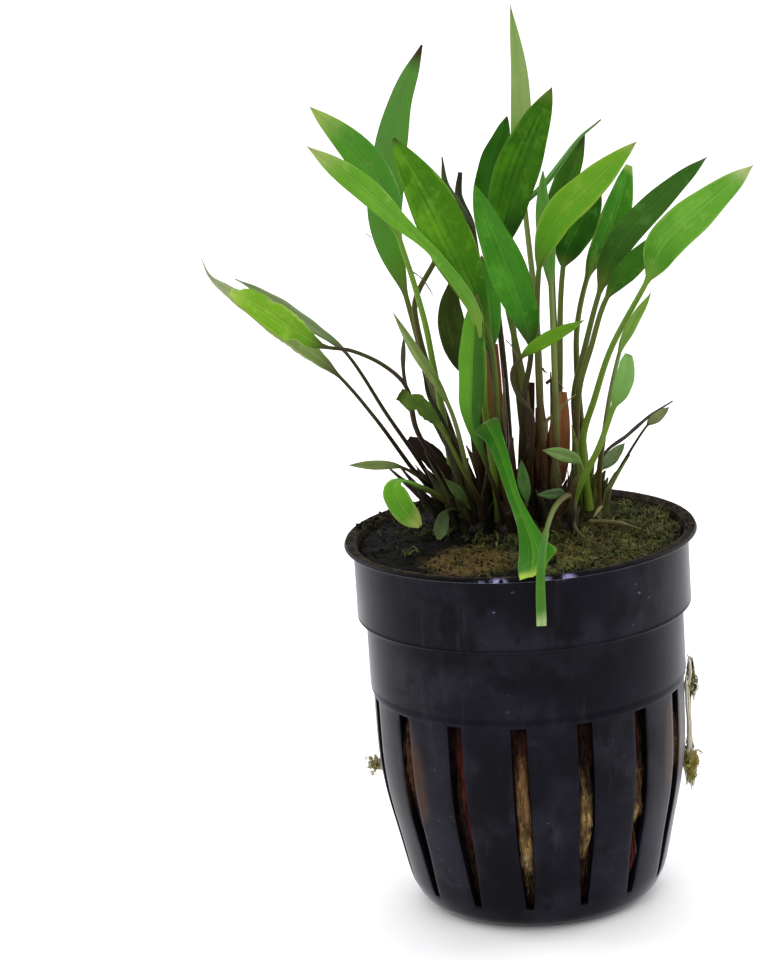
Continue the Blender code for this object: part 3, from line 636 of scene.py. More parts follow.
def wool_side(bearing, height, radius):
    """Where the wool's side is, in millimetres, with how pale and how red it is there."""
    nearest = round((bearing - FIRST_BEARING) / SLOT_PITCH)
    slot = (nearest + 3) % POT_SLOTS - 3    # the slots are numbered from -3 to 11, and 0 is at the front
    width = through(SLOT_WIDTHS, min(max(height, SLOT_LOW), SLOT_HIGH))
    away = abs(bearing - FIRST_BEARING - nearest * SLOT_PITCH) * radius / (width / 2)
    place = (math.sin(bearing) * 0.022, -math.cos(bearing) * 0.022, height * MM)
    reach = SET_BACK + 0.35 * wobble(place, 4 * MM, 2.0) + 0.22 * wobble(place, 1.1 * MM, 7.0)
    pale, red = 0.0, 0.0
    open_share = max(0.0, 1 - (away / SLOT_LIP) ** 4) if SLOT_LOW < height < SLOT_HIGH else 0.0
    for number, low, high, out, pale_by, red_by in BULGES:
        if number == slot and low < height < high:
            along = (height - low) / (high - low)
            swell = math.sin(math.pi * along ** 1.4) ** 0.6 * open_share
            reach += out * swell
            pale += pale_by * swell
            red += red_by * swell
    return radius + min(reach, BEHIND_WALL if away > SLOT_LIP else FURTHEST), pale, red


def round_row(shape, radius, height=None):
    """A row of points round the axis, at a height in millimetres or else on the soil."""
    row = []
    for bearing in WOOL_BEARINGS:
        x, y = radius * MM * math.sin(bearing), -radius * MM * math.cos(bearing)
        row.append(shape.verts.new((x, y, wool_height(x, y) if height is None else height * MM)))
    return row


def make_wool(look):
    shape = bmesh.new()
    pale_layer, red_layer = (shape.verts.layers.float.new(name) for name in ("pale", "red"))
    rows = [round_row(shape, share * WOOL_FOOT_RADIUS, 1.2) for share in (0.3, 0.7, 0.95)]
    for height in WOOL_ROWS:
        row = []
        inside = INSIDE_COLLAR if height < 47.5 else INSIDE_LIP
        inside = through(WALL_CURVE, height) if height < 35 else inside
        for bearing in WOOL_BEARINGS:
            radius, pale, red = wool_side(bearing, height, inside - WALL / MM)
            corner = shape.verts.new((radius * MM * math.sin(bearing), -radius * MM * math.cos(bearing),
                                      height * MM))
            corner[pale_layer], corner[red_layer] = pale, red
            row.append(corner)
        rows.append(row)
    radius = WOOL_RADIUS
    while radius > 0.4:
        rows.append(round_row(shape, radius))
        radius -= RING_STEP
    columns = range(len(WOOL_BEARINGS))
    for low, high in zip(rows, rows[1:]):
        for index in columns:
            after = (index + 1) % len(columns)
            shape.faces.new((low[index], low[after], high[after], high[index]))
    for row in (rows[0], rows[-1]):
        middle = shape.verts.new(sum((corner.co for corner in row), Vector()) / len(row))
        for index in columns:
            shape.faces.new((middle, row[index], row[(index + 1) % len(columns)]))
    bmesh.ops.recalc_face_normals(shape, faces=shape.faces)
    mesh = bpy.data.meshes.new("wool_and_soil")
    shape.to_mesh(mesh)
    shape.free()
    mesh.materials.append(look)
    mesh.shade_smooth()
    return new_object("wool_and_soil", mesh)


# %% Shader group for wool, soil and moss
BROWN_PATCH = (-7.5 * MM, -13.5 * MM, 58 * MM)   # bare brown soil at the front
SOIL_STARTS = (56.0, 56.9)             # wool below, soil above, in millimetres


def wool_group():
    tree, inputs, end = new_tree("wool_and_soil", "Shader", {
        "Place": ("Vector", None), "Pale": ("Float", 0.0), "Red": ("Float", 0.0),
    }, SKIN_OUTPUTS)
    place = inputs["Place"]
    x, _, height = parts(place)
    fibres = cloud(vector("MULTIPLY", place, (1.0, 1.0, 0.25)), 1500.0, 4.0, 0.7)
    grain = cloud(place, 1300.0, 5.0, 0.7)
    lumps = cloud(place, 260.0, 3.0)
    wide = cloud(place, 95.0, 2.0)

    # The side, as it shows in the slots
    side = blend(ramp(fibres, 0.35, 0.68), srgb(13, 8, 8), srgb(52, 33, 27))
    tan = blend(ramp(fibres, 0.3, 0.7), srgb(104, 80, 46), srgb(178, 150, 96))
    side = blend(calc("MULTIPLY", inputs["Pale"], ramp(lumps, 0.25, 0.55), clamp=True), side, tan)
    side = blend(calc("MULTIPLY", inputs["Red"], 0.75, clamp=True), side, srgb(92, 24, 29))

    # The top: dark soil, bare brown patches, and moss
    soil = blend(ramp(grain, 0.36, 0.66), srgb(4, 4, 3), srgb(17, 16, 12))
    brown = blend(ramp(grain, 0.3, 0.7), srgb(42, 33, 16), srgb(96, 80, 44))
    apart = vector("DISTANCE", place, BROWN_PATCH) + scaled(lumps, 6 * MM, -3 * MM)
    patches = ramp(wide, 0.5, 0.6) * band(x, 0.0, 6)
    soil = blend(most(band(apart, 9, 5), patches), soil, brown)
    moss = blend(ramp(grain, 0.32, 0.68), srgb(35, 38, 17), srgb(96, 101, 53))
    soil = blend(ramp(lumps, 0.42, 0.56) * band(x, -6, 5), soil, moss)
    colour = blend(band(height, *SOIL_STARTS), side, soil)
    feed(end, {"Color": colour, "Roughness": scaled(grain, 0.3, 0.68), "Height": scaled(lumps, 0.5, grain)})
    return tree


wool = make_wool(look_from_group("wool_and_soil", wool_group(), 0.04, 0.25 * MM,
                                 uses={"pale": "Pale", "red": "Red"}))
dress(wool, "growing_wool")
print("wool faces:", len(wool.data.polygons))

# %% [markdown]
# Wool, roots and moss are strands. One tree makes a bundle of them along each line of a bare mesh: it copies
# every line, shifts each copy a little, lets noise bend it, and sweeps a thin three-sided ring along it. The
# lines carry a tone, which the material turns into a colour between dark and pale.


# %% Geometry Nodes tree for bundles of strands
def strand_tree():
    tree, inputs, end = new_tree("strands", "Geometry", {
        "Lines": ("Geometry", None), "Copies": ("Int", 6), "Spread": ("Float", 0.5 * MM),
        "Bend": ("Float", 0.5 * MM), "Bend size": ("Float", 300.0), "Thickness": ("Float", 0.1 * MM),
        "Seed": ("Int", 0), "Look": ("Material", None),
    }, {"Strands": "Geometry"})
    curves = add(tree, "GeometryNodeMeshToCurve", (inputs["Lines"],))
    copies = add(tree, "GeometryNodeDuplicateElements", {"Geometry": curves, "Amount": inputs["Copies"]},
                 domain="SPLINE")
    spline = add(tree, "GeometryNodeInputIndex")
    number = add(tree, "GeometryNodeFieldOnDomain", (spline,), domain="CURVE", data_type="INT")

    def chance(shift):
        """A random vector for each strand, with parts between -1 and 1."""
        return add(tree, "FunctionNodeRandomValue", {
            0: (-1, -1, -1), 1: (1, 1, 1), "ID": number, "Seed": inputs["Seed"] + shift},
            data_type="FLOAT_VECTOR")

    shift = vector("SCALE", chance(0.0), scale=inputs["Spread"])
    away = vector("ADD", add(tree, "GeometryNodeInputPosition"), chance(7.0))
    swirl = add(tree, "ShaderNodeTexNoise", {"Vector": away, "Scale": inputs["Bend size"], "Detail": 1.0}, 1)
    swirl = vector("SUBTRACT", swirl, (0.5, 0.5, 0.5))
    swirl = vector("SCALE", swirl, scale=inputs["Bend"] * 2.0)
    bent = add(tree, "GeometryNodeSetPosition", {"Geometry": copies, "Offset": vector("ADD", shift, swirl)})
    share = add(tree, "GeometryNodeSplineParameter")
    size = calc("SUBTRACT", 1.0, share * 0.7) * inputs["Thickness"]
    ring = add(tree, "GeometryNodeCurvePrimitiveCircle", {"Resolution": 3, "Radius": 0.5})
    swept = add(tree, "GeometryNodeCurveToMesh", {"Curve": bent, "Profile Curve": ring, "Fill Caps": True,
                                                  "Scale": size})
    end_tree(add(tree, "GeometryNodeSetShadeSmooth", {"Geometry": swept}), inputs["Look"], end)
    return tree


STRANDS = strand_tree()
print("nodes in the strand tree:", len(STRANDS.nodes))


def strands(name, lines, look, copies, spread, bend, bend_size, thickness, seed=0):
    """Bundles of strands along lines, as a piece of the wool. Each line is its points and a tone of 0 to 1.

    Points, spread, bend and thickness are in millimetres."""
    places, edges, tones = [], [], []
    for points, tone in lines:
        start = len(places)
        places += [Vector(point) * MM for point in points]
        edges += [(start + index, start + index + 1) for index in range(len(points) - 1)]
        tones += [tone] * len(points)
    piece = grow(STRANDS, new_object(name, mesh_of(name, places, edges, [], {"tone": tones})), {
        "Copies": copies, "Spread": spread * MM, "Bend": bend * MM, "Bend size": bend_size,
        "Thickness": thickness * MM, "Seed": seed, "Look": look})
    dress(piece, "growing_wool")
    return piece


# %% Materials of strands and crumbs
STRAND_SHINE, CRUMB_SHINE = 0.1, 0.04
STRAND_RELIEF = 0.02 * MM


def strand_group():
    tree, inputs, end = new_tree("strand_colours", "Shader", {
        "Place": ("Vector", None), "Tone": ("Float", 0.0), "Dark": ("Color", srgb(30, 22, 16)),
        "Middle": ("Color", srgb(112, 90, 56)), "Pale": ("Color", srgb(206, 200, 182)),
    }, SKIN_OUTPUTS)
    patches = cloud(inputs["Place"], 800.0, 3.0)
    tone = inputs["Tone"] + scaled(patches, 0.7, -0.35)
    colour = blend(ramp(tone, 0.0, 0.5), inputs["Dark"], inputs["Middle"])
    colour = blend(ramp(tone, 0.5, 1.0), colour, inputs["Pale"])
    feed(end, {"Color": colour, "Roughness": scaled(patches, 0.25, 0.6), "Height": patches})
    return tree


STRAND_COLOURS = strand_group()


def strand_look(name, dark, middle, pale):
    return look_from_group(name, STRAND_COLOURS, STRAND_SHINE, STRAND_RELIEF, {
        "Dark": srgb(*dark), "Middle": srgb(*middle), "Pale": srgb(*pale)}, {"tone": "Tone"})


FIBRE_LOOK = strand_look("wool_fibres", (30, 22, 16), (112, 90, 56), (206, 200, 182))
MOSS_LOOK = strand_look("moss", (25, 25, 12), (69, 71, 33), (134, 136, 78))
ROOT_LOOK = strand_look("hanging_roots", (52, 52, 40), (158, 146, 74), (214, 208, 190))
CRUMB_LOOK = look_from_group("crumbs", STRAND_COLOURS, CRUMB_SHINE, STRAND_RELIEF, {
    "Dark": srgb(9, 8, 6), "Middle": srgb(42, 35, 22), "Pale": srgb(108, 94, 60), "Tone": 0.14})


# %% Wool fibres in the slots, and roots that hang out of them
FIBRES_IN_SLOT = 26


def on_side(bearing, radius, height):
    return (radius * math.sin(bearing), -radius * math.cos(bearing), height)


def slot_fibres():
    """Short upright strands over the wool in every slot, following its bulges."""
    chance = random.Random(11)
    lines = []
    for slot in [number for number in range(POT_SLOTS) for _ in range(FIBRES_IN_SLOT)]:
        low = chance.uniform(5, 31)
        span = chance.uniform(3, 7)
        side = chance.uniform(-1, 1)
        lean = chance.uniform(-0.4, 0.4)
        points, pale = [], 0.0
        for step in range(6):
            height = min(low + span * step / 5, 34.0)
            wall = through(WALL_CURVE, height)
            half = through(SLOT_WIDTHS, height) / 2 - 0.15
            across = max(-1, min(1, side + lean * step / 5)) * half
            bearing = FIRST_BEARING + slot * SLOT_PITCH + across / wall
            radius, pale, red = wool_side(bearing, height, wall - WALL / MM)
            points.append(on_side(bearing, radius + 0.12, height))
        lines.append((points, 0.02 + 0.5 * pale + chance.uniform(-0.08, 0.1)))
    strands("slot_fibres", lines, FIBRE_LOOK, 3, 0.16, 0.35, 500.0, 0.14)


def tuft(chance, bearing, radius, height, size, count, tones):
    """Short curly strands in a small lump on the pot's side. size is its depth, width and height."""
    lines = []
    for _ in range(count):
        offset = [chance.gauss(0, 0.45) * part for part in size]
        points = []
        for _ in range(6):
            away, aside, up = offset
            out = max(radius + away, through(WALL_CURVE, height))
            points.append(on_side(bearing + aside / radius, out, height + up))
            offset = [0.85 * value + chance.gauss(0, 0.3) * part for value, part in zip(offset, size)]
        lines.append((points, chance.uniform(*tones)))
    return lines


def hanging_roots():
    """A flat strip of pale roots down the right side, a yellow lump below it, and a wisp on the left."""
    chance = random.Random(5)
    right, left = math.radians(86), math.radians(-89)
    strip = []
    for _ in range(14):
        bearing = right + chance.gauss(0, 0.014)
        top, foot = chance.uniform(34, 38), chance.uniform(16, 19)
        out = chance.uniform(0.25, 0.8)
        points = []
        for step in range(10):
            height = top + (foot - top) * step / 9
            wall = INSIDE_COLLAR if height > 35 else through(WALL_CURVE, height)
            points.append(on_side(bearing, max(wall, 24.3) + out + 0.1 * math.sin(1.3 * step + top), height))
        strip.append((points, chance.uniform(0.7, 1.0)))
    tufts = tuft(chance, right + 0.01, 25.5, 34.0, (0.7, 0.9, 2.8), 26, (0.05, 0.45))
    tufts += tuft(chance, right, 24.7, 20.2, (1.0, 1.7, 2.4), 130, (0.35, 0.75))
    tufts += tuft(chance, left, 24.6, 22.2, (1.6, 0.8, 1.5), 24, (0.45, 0.8))
    strands("hanging_roots", strip, ROOT_LOOK, 4, 0.14, 0.14, 120.0, 0.3, 3)
    strands("root_wisps", tufts, ROOT_LOOK, 3, 0.2, 0.4, 420.0, 0.22, 9)


slot_fibres()
hanging_roots()

# %% [markdown]
# On the soil stand thousands of tiny moss shoots, and crumbs of soil lie between them. That is a scatter: a
# tree spreads points over the ground, puts a little shape on each, and turns and sizes it by chance. The
# shapes are very simple, as there are so many of them, and their material gives each its own shade.


# %% Geometry Nodes tree that scatters crumbs
SOIL_FROM = 56.8 * MM                  # crumbs lie only above this height
JUST_OVER_LIP = 59.05


def crumb_tree():
    tree, inputs, end = new_tree("crumbs", "Geometry", {
        "Ground": ("Geometry", None), "Density": ("Float", 400000.0), "Smallest": ("Float", 0.15 * MM),
        "Largest": ("Float", 0.5 * MM), "Seed": ("Int", 0), "Look": ("Material", None),
    }, {"Crumbs": "Geometry"})
    height = parts(add(tree, "GeometryNodeInputPosition"))[2]
    points = add(tree, "GeometryNodeDistributePointsOnFaces", {
        "Mesh": inputs["Ground"], "Selection": calc("GREATER_THAN", height, SOIL_FROM),
        "Density": inputs["Density"], "Seed": inputs["Seed"]})
    crumb = add(tree, "GeometryNodeMeshIcoSphere", {"Radius": 0.5, "Subdivisions": 1})
    turn = add(tree, "FunctionNodeRandomValue", {1: (6.3, 6.3, 6.3), "Seed": 1}, data_type="FLOAT_VECTOR")
    grade = add(tree, "FunctionNodeRandomValue", {"Seed": 2}, 1, data_type="FLOAT")
    size = scaled(calc("POWER", grade, 2.5), inputs["Largest"] - inputs["Smallest"], inputs["Smallest"])
    shape = add(tree, "FunctionNodeRandomValue", {0: (0.6, 0.6, 0.4), 1: (1.4, 1.2, 0.9), "Seed": 3},
                data_type="FLOAT_VECTOR")
    placed = add(tree, "GeometryNodeInstanceOnPoints", {
        "Points": points, "Instance": crumb, "Rotation": turn, "Scale": vector("SCALE", shape, scale=size)})
    end_tree(placed, inputs["Look"], end)
    return tree


CRUMBS = crumb_tree()
print("nodes in the crumb tree:", len(CRUMBS.nodes))


def scatter_crumbs(name, ground, density, smallest, largest, seed):
    piece = grow(CRUMBS, new_object(name, ground), {
        "Density": density, "Smallest": smallest * MM, "Largest": largest * MM, "Seed": seed,
        "Look": CRUMB_LOOK})
    dress(piece, "growing_wool")
    return piece


def lip_strip(first, last, inner, outer):
    """A narrow piece of the lip's top between two bearings and two radii, as ground for crumbs."""
    steps = 12
    bearings = [math.radians(first + (last - first) * index / steps) for index in range(steps + 1)]
    places = [Vector(on_side(bearing, radius, JUST_OVER_LIP)) * MM
              for bearing in bearings for radius in (inner, outer)]
    faces = [(2 * index, 2 * index + 1, 2 * index + 3, 2 * index + 2) for index in range(steps)]
    return mesh_of("strip", places, [], faces)


crumbs = scatter_crumbs("soil_crumbs", wool.data.copy(), 900000.0, 0.15, 0.75, 1)
scatter_crumbs("crumbs_on_lip_left", lip_strip(-150, -105, 24.6, 27.0), 2200000.0, 0.15, 0.8, 2)
scatter_crumbs("crumbs_on_lip_right", lip_strip(75, 135, 24.8, 27.0), 900000.0, 0.1, 0.5, 3)
print("crumb faces:", len(crumbs.data.polygons))

# %% Moss shoots
SHOOTS = 1500


def moss_shoots():
    """Bent shoots over the soil, thickest at the right and at the back."""
    chance = random.Random(21)
    lines = []
    while len(lines) < SHOOTS:
        radius, bearing = 24.4 * math.sqrt(chance.random()), chance.uniform(-math.pi, math.pi)
        x, y, _ = on_side(bearing, radius, 0)
        patch = wobble((x * MM, y * MM, 0), 7 * MM, 9.0) + 0.035 * x + 0.012 * y
        if patch < chance.uniform(-0.4, 0.5):
            continue
        ground = wool_height(x * MM, y * MM) / MM
        lean, tall = chance.uniform(0, 2 * math.pi), chance.uniform(0.5, 1.5)
        dx, dy = math.cos(lean) * tall, math.sin(lean) * tall
        lines.append(([(x, y, ground - 0.2), (x + 0.3 * dx, y + 0.3 * dy, ground + 0.45 * tall),
                       (x + 0.9 * dx, y + 0.9 * dy, ground + 0.6 * tall)], chance.uniform(0.1, 0.75)))
    return strands("moss_shoots", lines, MOSS_LOOK, 2, 0.3, 0.25, 900.0, 0.24, 5)


moss = moss_shoots()
print("moss faces:", len(moss.data.polygons))

# %% [markdown]
# A leaf's skin needs many colours in known places: a dark foot and a greener top on the stalk, a paler
# margin, a withered tip, a fine midrib and veins that run with the leaf. The leaf mesh carries a UV map for
# this: across runs from edge to edge, along runs from 0 to 0.5 up the stalk and from 0.5 to 1 along the
# blade. One shader group reads it, and each leaf's material uses the group with its own colours. Low in the
# middle of the clump the skin turns dark: partly a stain of damp soil, partly painted shade. The group also
# paints shade on one folded half, on the blade near its neck and on the sides of a stalk.

# %% Shader group for leaf skin
VEINS = 28.0                           # how far a vein's wave turns from the midrib to the edge
STAIN_SHADE_HEIGHTS = (69.0, 60.0)           # the stain and painted shade start and are full, in millimetres
STAIN_SHADE_DEPTHS = (-4.5, -0.5)            # towards the back
STAIN_SHADE_SIDES = (14.5, 10.5)             # away from the middle of the stain and painted shade
STAIN_SHADE_MIDDLE = -3.5


def leaf_skin_group():
    tree, inputs, end = new_tree("leaf_skin", "Shader", {
        "Across and along": ("Vector", None), "Place": ("Vector", None),
        "Blade": ("Color", srgb(70, 120, 35)), "Shade": ("Color", srgb(35, 80, 15)),
        "Margin": ("Color", srgb(130, 160, 70)), "Tip": ("Color", srgb(90, 80, 50)),
        "Stalk": ("Color", srgb(84, 101, 53)), "Foot": ("Color", srgb(50, 36, 20)),
        "Tip share": ("Float", 0.1), "Margin share": ("Float", 0.1), "Mottle": ("Float", 0.5),
        "Spots": ("Float", 0.1), "Halves": ("Float", 0.25), "Tone": ("Float", 0.0),
        "Stain and shade": ("Color", srgb(14, 12, 7)),
    }, SKIN_OUTPUTS)
    place, shade, margin, foot = (inputs[title] for title in ("Place", "Shade", "Margin", "Foot"))
    from_left, from_foot, _ = parts(inputs["Across and along"])
    side = scaled(from_left, 2.0, -1.0)
    across = calc("ABSOLUTE", side)
    along = scaled(from_foot, 2.0, -1.0)
    up_stalk = calc("MULTIPLY", from_foot, 2.0, clamp=True)
    broad = cloud(place, 170.0, 2.0)
    blotches = cloud(place, 430.0, 4.0, 0.65)
    streaks = cloud(vector("MULTIPLY", inputs["Across and along"], (7.0, 2.0, 0.0)), 1.6, 3.0)
    wander = scaled(broad, 0.5, -0.25)

    # The blade: its darker parts, some of them painted shade, blotches, veins, margin, tip and spots
    mottled = ramp(broad + streaks * 0.7, 0.62, 1.05) * inputs["Mottle"]
    # Painted shade: one folded half is darker, and so is the blade low down near its neck
    folded = ramp(side, -0.25, 0.2) * inputs["Halves"]
    low = ramp(along, 0.45, 0.02) * 0.75
    shaded = calc("ADD", most(mottled, folded), most(low, inputs["Tone"]), clamp=True)
    colour = blend(shaded, inputs["Blade"], shade)
    patchy = inputs["Mottle"] * 0.6
    colour = blend(ramp(blotches, 0.53, 0.68) * patchy, colour, margin)
    colour = blend(ramp(blotches, 0.46, 0.34) * patchy, colour, shade)
    vein = calc("SINE", across * VEINS) * calc("SUBTRACT", 1.0, across)
    colour = blend(ramp(vein, 0.3, 0.75) * 0.16, colour, margin)
    colour = blend(ramp(across, 0.08, 0.01) * 0.16, colour, margin)
    edge = ramp(across + wander, calc("SUBTRACT", 1.0, inputs["Margin share"]), 1.04)
    colour = blend(edge * 0.7, colour, margin)
    tip = ramp(scaled(wander, 0.35, along), calc("SUBTRACT", 1.0, inputs["Tip share"]), 1.0)
    colour = blend(tip, colour, inputs["Tip"])
    colour = blend(ramp(cloud(place, 900.0, 1.0), 0.66, 0.74) * inputs["Spots"], colour, foot)
    colour = blend(ramp(across, 0.9, 1.0) * 0.3, colour, foot)

    # The stalk, and the stain and painted shade over both
    stalk = blend(ramp(up_stalk + wander, 0.15, 0.9), foot, inputs["Stalk"])
    # A stalk is darker towards its two sides and lighter along its face: painted shade and a painted
    # highlight on a round stem
    stalk = blend(ramp(across, 0.25, 0.95) * 0.45, stalk, foot)
    stalk = blend(ramp(streaks, 0.45, 0.7) * 0.35, stalk, foot)
    colour = blend(ramp(from_foot, 0.47, 0.60), stalk, colour)
    x, y, z = parts(place)
    stain_and_shade = band(z, *STAIN_SHADE_HEIGHTS) * band(y, *STAIN_SHADE_DEPTHS)
    stain_and_shade = stain_and_shade * band(calc("ABSOLUTE", x - STAIN_SHADE_MIDDLE * MM), *STAIN_SHADE_SIDES)
    colour = blend(stain_and_shade * ramp(broad, 0.3, 0.6, 0.6, 0.85), colour, inputs["Stain and shade"])

    height = vein * 0.25 + cloud(place, 1500.0, 2.0) * 0.5 + streaks * 0.6
    rough = scaled(tip, 0.25, scaled(broad, 0.2, 0.36))
    feed(end, {"Color": colour, "Roughness": rough, "Height": height})
    return tree


LEAF_SKIN = leaf_skin_group()
print("nodes in the leaf skin:", len(LEAF_SKIN.nodes))

# %% [markdown]
# Every leaf is one piece from its foot in the crown to its tip, so one Geometry Nodes tree can grow them
# all. It takes a midrib, which is a bare line of points. Each point carries where the two halves reach, how
# thick the leaf is there and which way it faces. The tree sweeps a ring along the line, then moves every
# point of the ring to its place: round where the line is stalk, and where it is blade flat, folded along
# the midrib, with a groove there and a gentle ripple at the edges.


# %% Geometry Nodes tree that grows a leaf along its midrib
def leaf_tree():
    tree, inputs, end = new_tree("leaf_along_midrib", "Geometry", {
        "Midrib": ("Geometry", None), "Points round": ("Int", 24), "Groove": ("Float", 0.12 * MM),
        "Ripple": ("Float", 0.2 * MM), "Ripples": ("Float", 4.0), "Arch": ("Float", 0.1),
        "Skin": ("Material", None),
    }, {"Leaf": "Geometry"})

    def keep(geometry, name, value, kind, domain):
        """Store a value on the geometry."""
        return add(tree, "GeometryNodeStoreNamedAttribute", {
            "Geometry": geometry, "Name": name, "Value": value}, data_type=kind, domain=domain)

    ring = add(tree, "GeometryNodeCurvePrimitiveCircle", {
        "Resolution": inputs["Points round"], "Radius": 1.0})
    ring = keep(ring, "ring", add(tree, "GeometryNodeInputPosition"), "FLOAT_VECTOR", "POINT")
    line = add(tree, "GeometryNodeMeshToCurve", (inputs["Midrib"],))
    swept = add(tree, "GeometryNodeCurveToMesh", {"Curve": line, "Profile Curve": ring, "Fill Caps": True})

    # Where each point of the ring goes, sideways and upwards from the midrib
    side, height, _ = parts(carried(tree, "ring", "FLOAT_VECTOR"))
    spread = calc("ABSOLUTE", side)
    to_right = calc("GREATER_THAN", side, 0.0)
    reach = add(tree, "ShaderNodeMix", {0: to_right, 2: carried(tree, "left"), 3: carried(tree, "right")})
    flat = spread * reach
    lift = flat * carried(tree, "fold") - flat * spread * inputs["Arch"]
    turns = carried(tree, "along") * inputs["Ripples"] * (4 * math.pi)
    wave = calc("SINE", turns + scaled(to_right, 2.2, carried(tree, "phase")))
    ripple = wave * inputs["Ripple"] * calc("POWER", spread, 2.0)
    groove = calc("EXPONENT", calc("POWER", spread, 2.0) * -40.0) * inputs["Groove"]
    bent = (lift + ripple - groove) * carried(tree, "blade")
    raised = scaled(height * carried(tree, "thick"), 0.5, bent)

    sideways = vector("SCALE", carried(tree, "across", "FLOAT_VECTOR"), scale=side * reach)
    upwards = vector("SCALE", carried(tree, "up", "FLOAT_VECTOR"), scale=raised)
    moved = vector("ADD", carried(tree, "place", "FLOAT_VECTOR"), vector("ADD", sideways, upwards))
    shaped = add(tree, "GeometryNodeSetPosition", {"Geometry": swept, "Position": moved})

    uv = add(tree, "ShaderNodeCombineXYZ", (scaled(side, 0.5, 0.5), carried(tree, "along")))
    mapped = keep(shaped, "UVMap", uv, "FLOAT2", "CORNER")
    for name in ("ring", "left", "right", "blade", "fold", "phase", "thick", "across", "up", "place",
                 "along"):
        mapped = add(tree, "GeometryNodeRemoveAttribute", {"Geometry": mapped, "Name": name})
    end_tree(add(tree, "GeometryNodeSetShadeSmooth", {"Geometry": mapped}), inputs["Skin"], end)
    return tree


LEAF_TREE = leaf_tree()
print("nodes in the leaf tree:", len(LEAF_TREE.nodes))

# %% [markdown]
# The leaves themselves are a table: where each leaf stands, the points that its stalk and blade pass through,
# how wide it is, how it is turned and folded, and its colours and damage. The routes follow the ones that the
# solids were made from, so each fine leaf lies on its solid.

# %% Crowns, seats and the leaf record
CROWNS = {1: (-10.0, 11.0), 2: (-7.0, 4.0), 3: (-3.0, 12.0), 4: (-1.0, 2.0), 5: (4.0, 8.0), 6: (6.0, 1.0),
          7: (11.0, 8.0)}
CROWN_TOP = 59.8 * MM
SEAT_RADIUS = 2.1 * MM
GAP = 0.3 * MM                         # between a crown's top and a stalk's foot
STALK_FOOT = 1.2 * MM                  # thickness of a stalk at its foot and at the neck below the blade
STALK_NECK = 0.82 * MM
BLADE_THICKNESS = 0.4 * MM
TIP_THICKNESS = 0.15 * MM

# Stalk colours by name: at the top and at the foot
TONES = {
    "green": ((92, 112, 44), (66, 44, 24)),
    "olive": ((86, 92, 44), (62, 40, 24)),
    "pale": ((122, 140, 74), (72, 60, 30)),
    "red": ((112, 78, 42), (64, 34, 20)),
    "dark": ((62, 58, 32), (38, 22, 15)),
    "bright": ((112, 146, 54), (98, 124, 36)),
}

# Points and widths are in millimetres, and turn and fold in degrees. A width is the blade's greatest, or all
# its widths at even steps. A notch is its share of the blade, its side, its depth and its length. Every leaf
# says its colour and its shade. The leaves at the back and deep in the clump have darker colours, partly
# painted shade, and halves is how much darker one folded half is: painted shade.
Leaf = namedtuple("Leaf", "name crown seat stalk blade width turn fold stout colour shade margin tip "
                  "tip_share margin_share tone ripple ragged notches spots mottle halves",
                  defaults=(0.0, 14.0, 1.0, None, None, None, (110, 105, 60), 0.07, 0.08, "green",
                            0.15, 0.0, (), 0.1, 0.5, 0.25))

